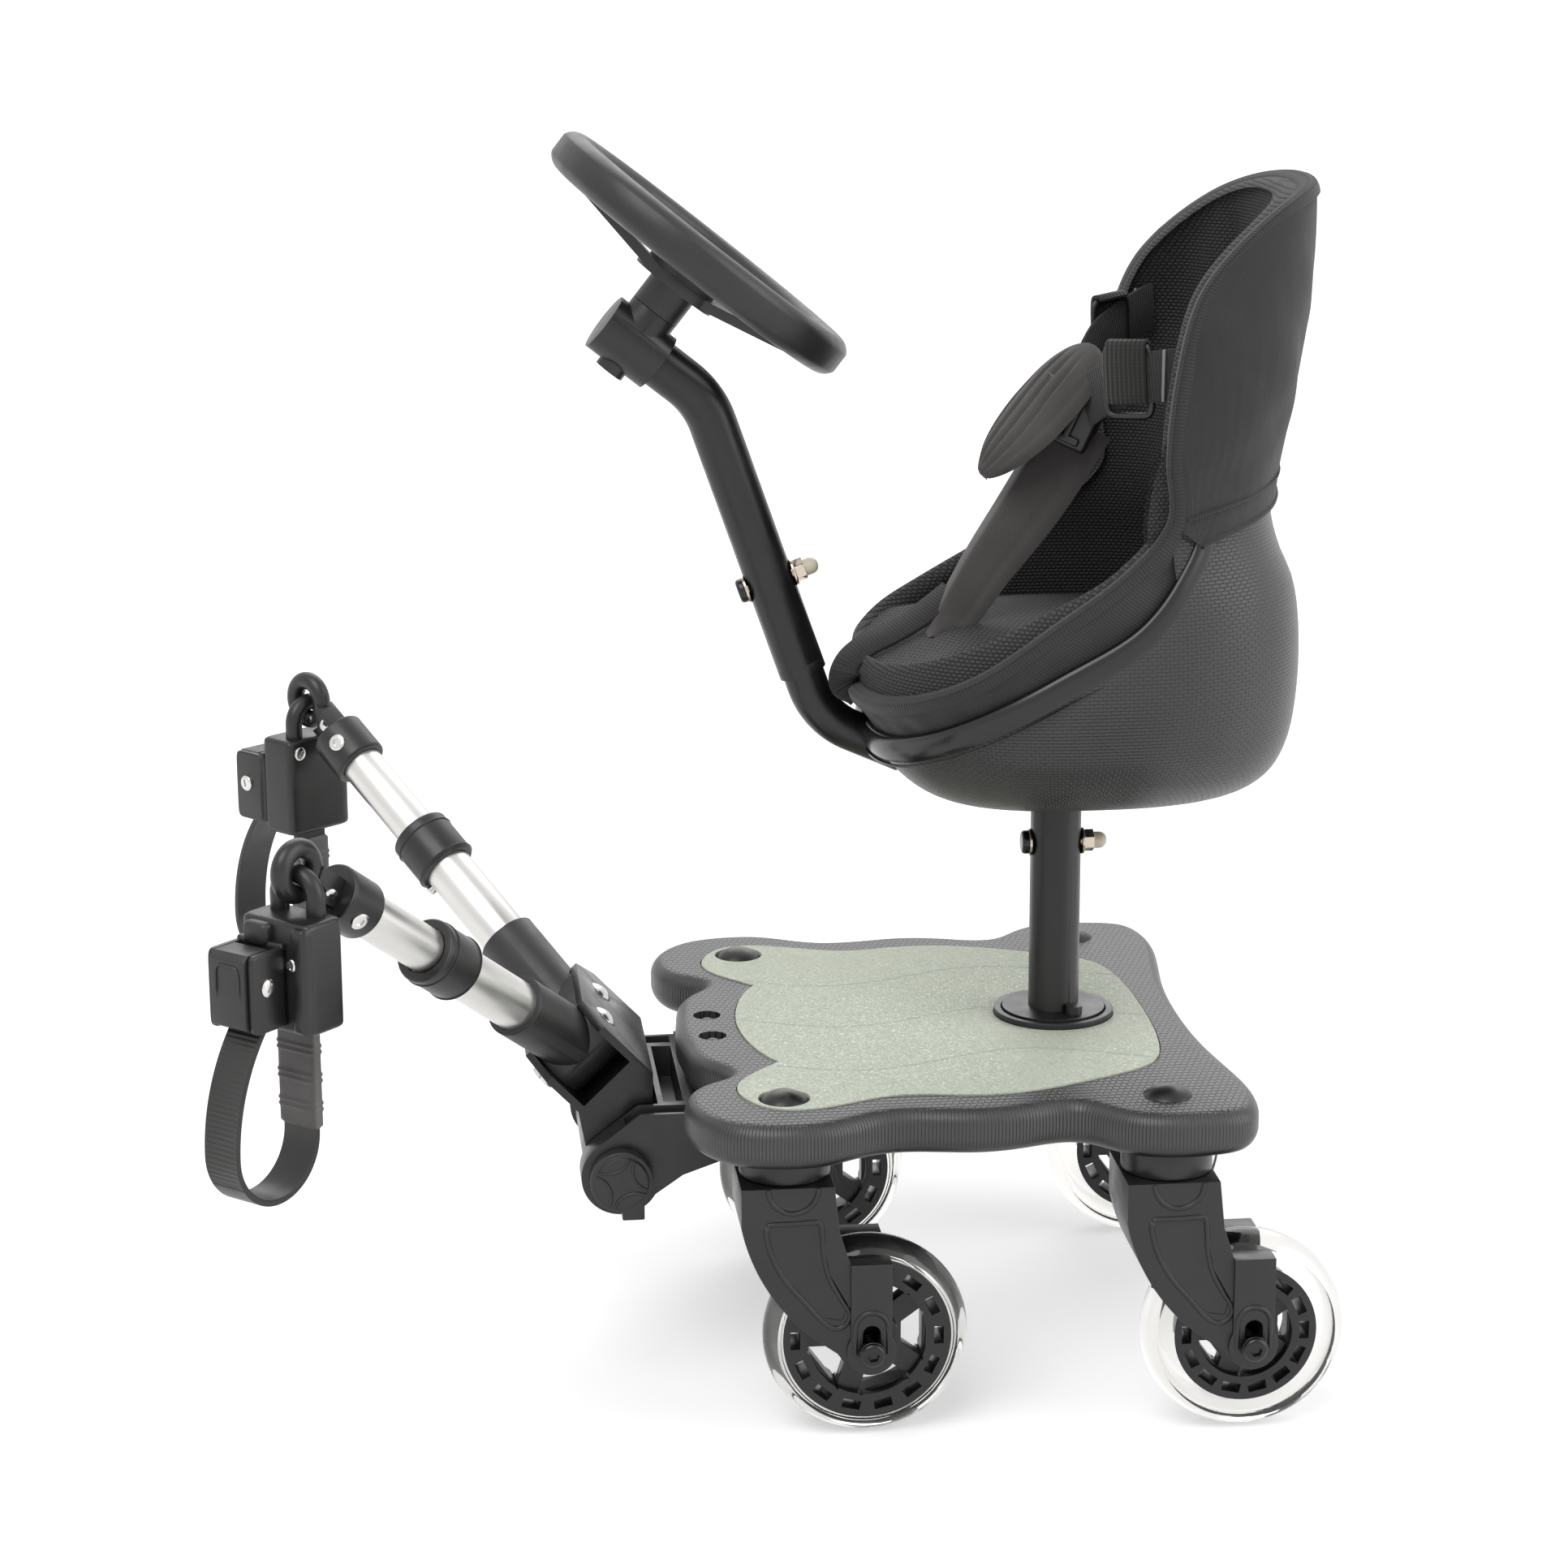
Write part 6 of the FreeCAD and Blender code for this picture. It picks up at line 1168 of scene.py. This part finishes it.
COLLAR_REACH = 16.05
COLLAR_BEAD = [(-0.4, -0.4), (-0.4, 0.2), (0.0, 0.5), (0.4, 0.2), (0.4, -0.4)]


def make_arm_trim(side, word):
    """The rivets at an arm's end and the lines round its collar."""
    place = arm_place(side)
    across = place.to_3x3().col[1]
    inner = "arm_inner_" + word
    screw("end_rivet_" + word, spot_at(place, 201.5, 14.3, 0), across, 4.4, inner, sides=6, height=0.25)
    screw("hook_rivet_" + word, spot_at(place, 218.6, 5.5, 0), across, 3.9, inner, sides=6, height=0.3)
    for number, spot in ((1, 112.5), (2, 131.5)):
        ring = np.array([spot_at(place, spot, y, z) for y, z in oval(COLLAR_REACH, COLLAR_REACH, 64)])
        made = Form().sweep(ring, COLLAR_BEAD, closed=True, ups=ring - np.array(spot_at(place, spot, 0, 0)))
        made.piece(f"collar_line_{number}_{word}", "satin_black", 50, "arm_outer_" + word)


# Each caster's name, the middle of its stem and its hub's radius.
CORNERS = (
    ("front_near", -1.5, -116.0, 41.0), ("front_far", -1.5, 116.0, 41.0),
    ("rear_near", 181.5, -130.0, 35.0), ("rear_far", 181.5, 130.0, 35.0),
)
TRAIL, WHEEL_RADIUS = 39.0, 50.0
FORK_PANEL = [
    (-10.8, 115), (-8.5, 115.8), (2.5, 115.8), (13.7, 115.8), (15.5, 110), (16.3, 98.6), (19, 87.1),
    (24.4, 76.4), (28.9, 68.5), (26.2, 62.9), (21.7, 61.7), (16.3, 64.8), (6.5, 76.3), (-2.4, 87.2),
    (-8.6, 99.8), (-11.2, 110.3),
]
# Clears the axle's head over the whole travel of the suspension.
SLOT_REACH, SLOT_FOOT, SLOT_TOP = 8.0, 49.0, 62.0
# Where rays at a fork's side start, and how uneven a face may be to carry a line.
RAY_START, FLATNESS = 60.0, 1.0
TREAD_MIDDLE, TREAD_RADIUS, TREAD_HALF = 35.67, 14.33, 12.0
CASTER = (("hub_", "hub_black", 0.5), ("axle_", "dark_steel", 0.3), ("fork_", "satin_black", 1.5))


def fork_lines():
    """The lines on a fork's side: their names, their points from the stem and whether they close."""
    panel = smooth_line(FORK_PANEL + FORK_PANEL[:1], 5)[:-1]
    slot = [(TRAIL + SLOT_REACH, SLOT_FOOT)]
    for a in np.linspace(0, math.pi, 16):
        slot.append((TRAIL + SLOT_REACH * math.cos(a), SLOT_TOP + SLOT_REACH * math.sin(a)))
    slot.append((TRAIL - SLOT_REACH, SLOT_FOOT))
    scoop = [(1.8 + 12.0 * math.cos(a), 133.4 + 12.4 * math.sin(a)) for a in np.linspace(math.pi, TURN, 16)]
    slot, scoop = (smooth_line(points, 3) for points in (slot, scoop))
    return ("panel", panel, True), ("slot", slot, False), ("scoop", scoop, False)


def make_fork_trim(word, stem, y):
    """Raised lines round the panel, the axle slot and the scoop on each side of a fork."""
    mesh = nodes["fork_" + word].data
    tree = bvhtree.BVHTree.FromPolygons([v.co for v in mesh.vertices], [p.vertices for p in mesh.polygons])
    for side, end in ((-1, "a"), (1, "b")):
        for name, path, closed in fork_lines():
            line = []
            for x, z in path:
                start = Vector(((stem + x) * MM, (y + side * RAY_START) * MM, z * MM))
                hit = tree.ray_cast(start, Vector((0, -side, 0)))[0]
                if hit is not None:
                    line.append(tuple(hit / MM))
            if len(line) < len(path) or np.ptp([p[1] for p in line]) > FLATNESS:
                continue
            made = Form().sweep(line, bead(1.2, 0.5, -0.8, 0.3, 0.9), closed=closed, up=(0, side, 0))
            made.piece(f"fork_{name}_{end}_{word}", "satin_black", 50, body_of("fork_" + word))


def make_wheels():
    """Each caster's clear tyre, hub, axle and fork."""
    bound = math.asin(TREAD_HALF / TREAD_RADIUS) * 0.97
    for word, stem, y, hub in CORNERS:
        place = axes_place((stem + TRAIL, y, WHEEL_RADIUS), (1, 0, 0), (0, 1, 0))
        wall = [(hub - 0.15, 9.8), (hub + 0.8, 10.2), (42.4, 11.3)]
        profile = list(wall)
        for a in np.linspace(bound, -bound, 25):
            profile.append((TREAD_MIDDLE + TREAD_RADIUS * math.cos(a), TREAD_RADIUS * math.sin(a)))
        profile += [(radius, -height) for radius, height in wall[::-1]]
        rows = []
        for radius, height in profile:
            rows.append([spot_at(place, a, b, height) for a, b in oval(radius, radius, 96)])
        tyre = Form().grid(rows, close_u=True, close_v=True)
        tyre.piece("tyre_clear_" + word, "clear_tyre", 40, "wheel_" + word, replaces=("tyre_" + word,))
        for node, look, bevel in CASTER:
            finished(node + word, look, bevel)
        make_fork_trim(word, stem, y)
        outward = -1 if y < 0 else 1
        reach = max(outward * v.co.y for v in nodes["axle_" + word].data.vertices) / MM
        spot = (stem + TRAIL, outward * reach, WHEEL_RADIUS)
        screw("axle_bolt_" + word, spot, (0, outward, 0), 6.0, "axle_" + word, "gloss_black", 6, 0.4)


DECK_MIDDLE, DECK_LENGTH, DECK_HALF = 88.0, 137.5, 162.0
DECK_SHARES = [
    (-0.962, 0), (-0.945, 0.185), (-0.893, 0.345), (-0.822, 0.447), (-0.915, 0.520), (-0.992, 0.650),
    (-0.955, 0.830), (-0.845, 0.930), (-0.700, 0.969), (-0.530, 0.960), (-0.320, 0.876), (-0.015, 0.895),
    (0.200, 0.868), (0.355, 0.846), (0.450, 0.920), (0.560, 0.985), (0.800, 1), (0.935, 0.957),
    (0.996, 0.820), (0.985, 0.600), (0.945, 0.350), (0.925, 0),
]
# How the deck's grain is drawn out: along its side, up its side, along its top and across its top.
SIDE_ALONG, SIDE_UP, TOP_ALONG, TOP_ACROSS = 1.6, 0.08, 0.9, 0.6
SIDE_REACH = 14.0


def deck_lengths():
    """Gives a deck face its lengths: across the top in plan, and round the side by its outline."""
    half = smooth_line(DECK_SHARES, 10)
    near = np.stack([DECK_MIDDLE + DECK_LENGTH * half[:, 0], -DECK_HALF * half[:, 1]], 1)
    loop = np.vstack([near, near[::-1] * np.array([1, -1])])
    run = run_of(loop)
    whole = SIDE_ALONG * run[-1]
    tree = kdtree.KDTree(len(loop))
    for k, (x, y) in enumerate(loop):
        tree.insert((x, y, 0), k)
    tree.balance()

    def lengths(face):
        middle = face.calc_center_median() / MM
        spots = [vert.co / MM for vert in face.verts]
        if abs(face.normal.z) > 0.93 or tree.find((middle.x, middle.y, 0))[2] > SIDE_REACH:
            return [(TOP_ALONG * x, TOP_ACROSS * y) for x, y, _ in spots]
        out = []
        for x, y, z in spots:
            k = tree.find((x, y, 0))[1]
            ahead = loop[(k + 1) % len(loop)] - loop[k - 1]
            along = run[k] + (np.array([x, y]) - loop[k]).dot(ahead) / np.linalg.norm(ahead)
            out.append((SIDE_ALONG * along, SIDE_UP * z))
        if np.ptp([u for u, _ in out]) > whole / 2:
            out = [(u + (whole if u < whole / 2 else 0), v) for u, v in out]
        return out

    return lengths


KNOB_ARC_MIDDLE, KNOB_ARC_RADIUS, KNOB_REACH = 17.5, 11, 13.2


def make_knob_trim():
    """Raised arcs on the end faces of the two pivot knobs."""
    mesh = nodes["pivot_knobs"].data
    for side, word in SIDES:
        face = max(side * v.co.y for v in mesh.vertices) / MM
        made = Form()
        for k in range(4):
            a = TURN * (k / 4 + 0.06)
            line = []
            for b in np.linspace(a + math.pi / 2, a + 1.5 * math.pi, 60):
                x = KNOB_ARC_MIDDLE * math.cos(a) + KNOB_ARC_RADIUS * math.cos(b)
                z = KNOB_ARC_MIDDLE * math.sin(a) + KNOB_ARC_RADIUS * math.sin(b)
                if math.hypot(x, z) < KNOB_REACH:
                    line.append((PIVOT.x + x, side * face, PIVOT.z + z))
            made.sweep(line, bead(0.7, 0.3, -0.5, 0.3, 0.7), up=(0, side, 0))
        made.piece("knob_arcs_" + word, "soft_black", 50, "board")


# Nodes shown in their own shape: name, look, edge rounding and, if it isn't the look's own, slot.
BOARD = (
    ("grip_pad", "grip_green", 0.3), ("deck_bolts", "black_paint", 0.3, "gloss_black"),
    ("seat_socket", "satin_black", 0.5), ("caster_collars", "satin_black", 0.8),
    ("hitch_bracket", "satin_black", 0.8), ("pivot_shaft", "steel", 0.3), ("pivot_knobs", "soft_black", 0.8),
    ("yoke", "hitch_black", 0.8), ("yoke_bolts", "steel", 0.3),
)
ARM = (
    ("arm_socket_", "soft_black", 0.8), ("outer_tube_", "aluminium", 0.2),
    ("tube_collar_", "satin_black", 0.5), ("spring_button_", "steel", 0.2), ("inner_tube_", "aluminium", 0.2),
    ("end_fitting_", "satin_black", 0.5), ("hook_", "satin_black", 0.6), ("hook_gate_", "steel", 0.3),
    ("clamp_bail_", "satin_black", 0.5),
)
STEERING = (
    ("seat_post", "black_paint", 0.4), ("steering_stem_upper", "black_paint", 0.3),
    ("steering_stem_lower", "black_paint", 0.3), ("steering_housing", "satin_black", 0.6),
    ("steering_wheel", "wheel_black", 0.8),
)
STEM_LEAN = math.radians(19.3)


def make_board():
    finished("deck", "deck_black", 0, uv=deck_lengths())
    for row in BOARD:
        finished(*row)
    make_knob_trim()


def make_arms():
    for side, word in SIDES:
        for node, look, bevel in ARM:
            finished(node + word, look, bevel)
        make_clamp(side, word)
        make_strap(side, word)
        make_clamp_trim(side, word)
        make_arm_trim(side, word)


def make_steering():
    """The post, the stem and the wheel, and the cross bolts with a black head and a cream cap."""
    for row in STEERING:
        finished(*row)
    bolts = finished("cross_bolts", "nickel", 0.25)
    for look in ("gloss_black", "cream_cap"):
        bolts.data.materials.append(LOOKS[look].material)
    sine, cosine = math.sin(STEM_LEAN), math.cos(STEM_LEAN)
    stem = Vector((19.2, 0, 357.0)) + Vector((-sine, 0, cosine)) * 44.0
    axes = ((Vector((149.0, 0, 261.0)), Vector((1, 0, 0)), 12.75), (stem, Vector((cosine, 0, sine)), 11.8))
    for polygon in bolts.data.polygons:
        spot = polygon.center / MM
        middle, way, half = min(axes, key=lambda row: (spot - row[0]).length)
        reach = (spot - middle).dot(way)
        if reach < -half - 1.35:
            polygon.material_index = 1
        elif reach > half + 6.2:
            polygon.material_index = 2


def light_share(tree):
    """One for rays that see the background: camera, mirror and glass rays."""
    path = add_node(tree, "LightPath").outputs
    seen = path["Is Camera Ray"]
    for name in ("Is Glossy Ray", "Is Transmission Ray"):
        seen = add_node(tree, "Math", {0: seen, 1: path[name]}, operation="MAXIMUM").outputs[0]
    return seen


FLOOR_HALF = 20.0
FLOOR_GLOW = 0.48
SKY_LIGHT = 0.24
LAMPS = (
    ("key", (-1.2, -1.7, 3.0), 40, 1.35), ("fill", (2.8, -1.0, 1.3), 50, 1.2),
    ("rim", (0.5, 2.4, 2.0), 50, 0.9),
)
# The camera as fitted to the photograph: degrees, lens in millimetres, place in metres.
CAMERA_YAW, CAMERA_PITCH, CAMERA_ROLL = 6.05, 14.62, -0.20
CAMERA_LENS = 85.73
CAMERA_PLACE = (-0.1786, -1.7914, 0.7649)


def make_floor(scene):
    mesh = bpy.data.meshes.new("floor")
    corners = [(x * FLOOR_HALF, y * FLOOR_HALF, 0) for x, y in ((-1, -1), (1, -1), (1, 1), (-1, 1))]
    mesh.from_pydata(corners, [], [(0, 1, 2, 3)])
    floor = bpy.data.objects.new("floor", mesh)
    scene.collection.objects.link(floor)
    made = Shader("floor", shade(242), 1.0, {"Specular IOR Level": 0.0, "Emission Color": (1, 1, 1, 1)})
    made.link(made.math("MULTIPLY", light_share(made.tree), FLOOR_GLOW), "Emission Strength")
    mesh.materials.append(made.material)


def make_stage():
    """A pale floor, soft studio light and the photograph's camera."""
    scene = bpy.context.scene
    world = bpy.data.worlds.new("studio")
    world.use_nodes = True
    scene.world = world
    tree = world.node_tree
    back = tree.nodes["Background"]
    back.inputs["Color"].default_value = (1, 1, 1, 1)
    level = add_node(tree, "MapRange", {"Value": light_share(tree), "To Min": SKY_LIGHT, "To Max": 1.0})
    tree.links.new(level.outputs[0], back.inputs["Strength"])
    make_floor(scene)

    for name, spot, spread, power in LAMPS:
        lamp = bpy.data.lights.new(name, "SUN")
        lamp.angle = math.radians(spread)
        lamp.energy = power
        made = bpy.data.objects.new(name, lamp)
        made.location = spot
        made.rotation_euler = (-Vector(spot)).to_track_quat("-Z", "Y").to_euler()
        scene.collection.objects.link(made)

    camera = bpy.data.cameras.new("camera")
    camera.lens = CAMERA_LENS
    camera.sensor_width = 36.0
    camera.clip_start = 0.05
    camera.clip_end = 100.0
    made = bpy.data.objects.new("camera", camera)
    yaw, pitch, roll = (math.radians(a) for a in (CAMERA_YAW, CAMERA_PITCH, CAMERA_ROLL))
    turn = Matrix.Rotation(-yaw, 4, "Z") @ Matrix.Rotation(math.pi / 2 - pitch, 4, "X")
    made.matrix_world = Matrix.Translation(CAMERA_PLACE) @ turn @ Matrix.Rotation(roll, 4, "Z")
    scene.collection.objects.link(made)
    scene.camera = made
    scene.view_settings.view_transform = "Standard"


make_board()
make_wheels()
make_arms()
make_steering()
make_cushion(*make_liner(*make_shell()))
make_harness()
make_stage()
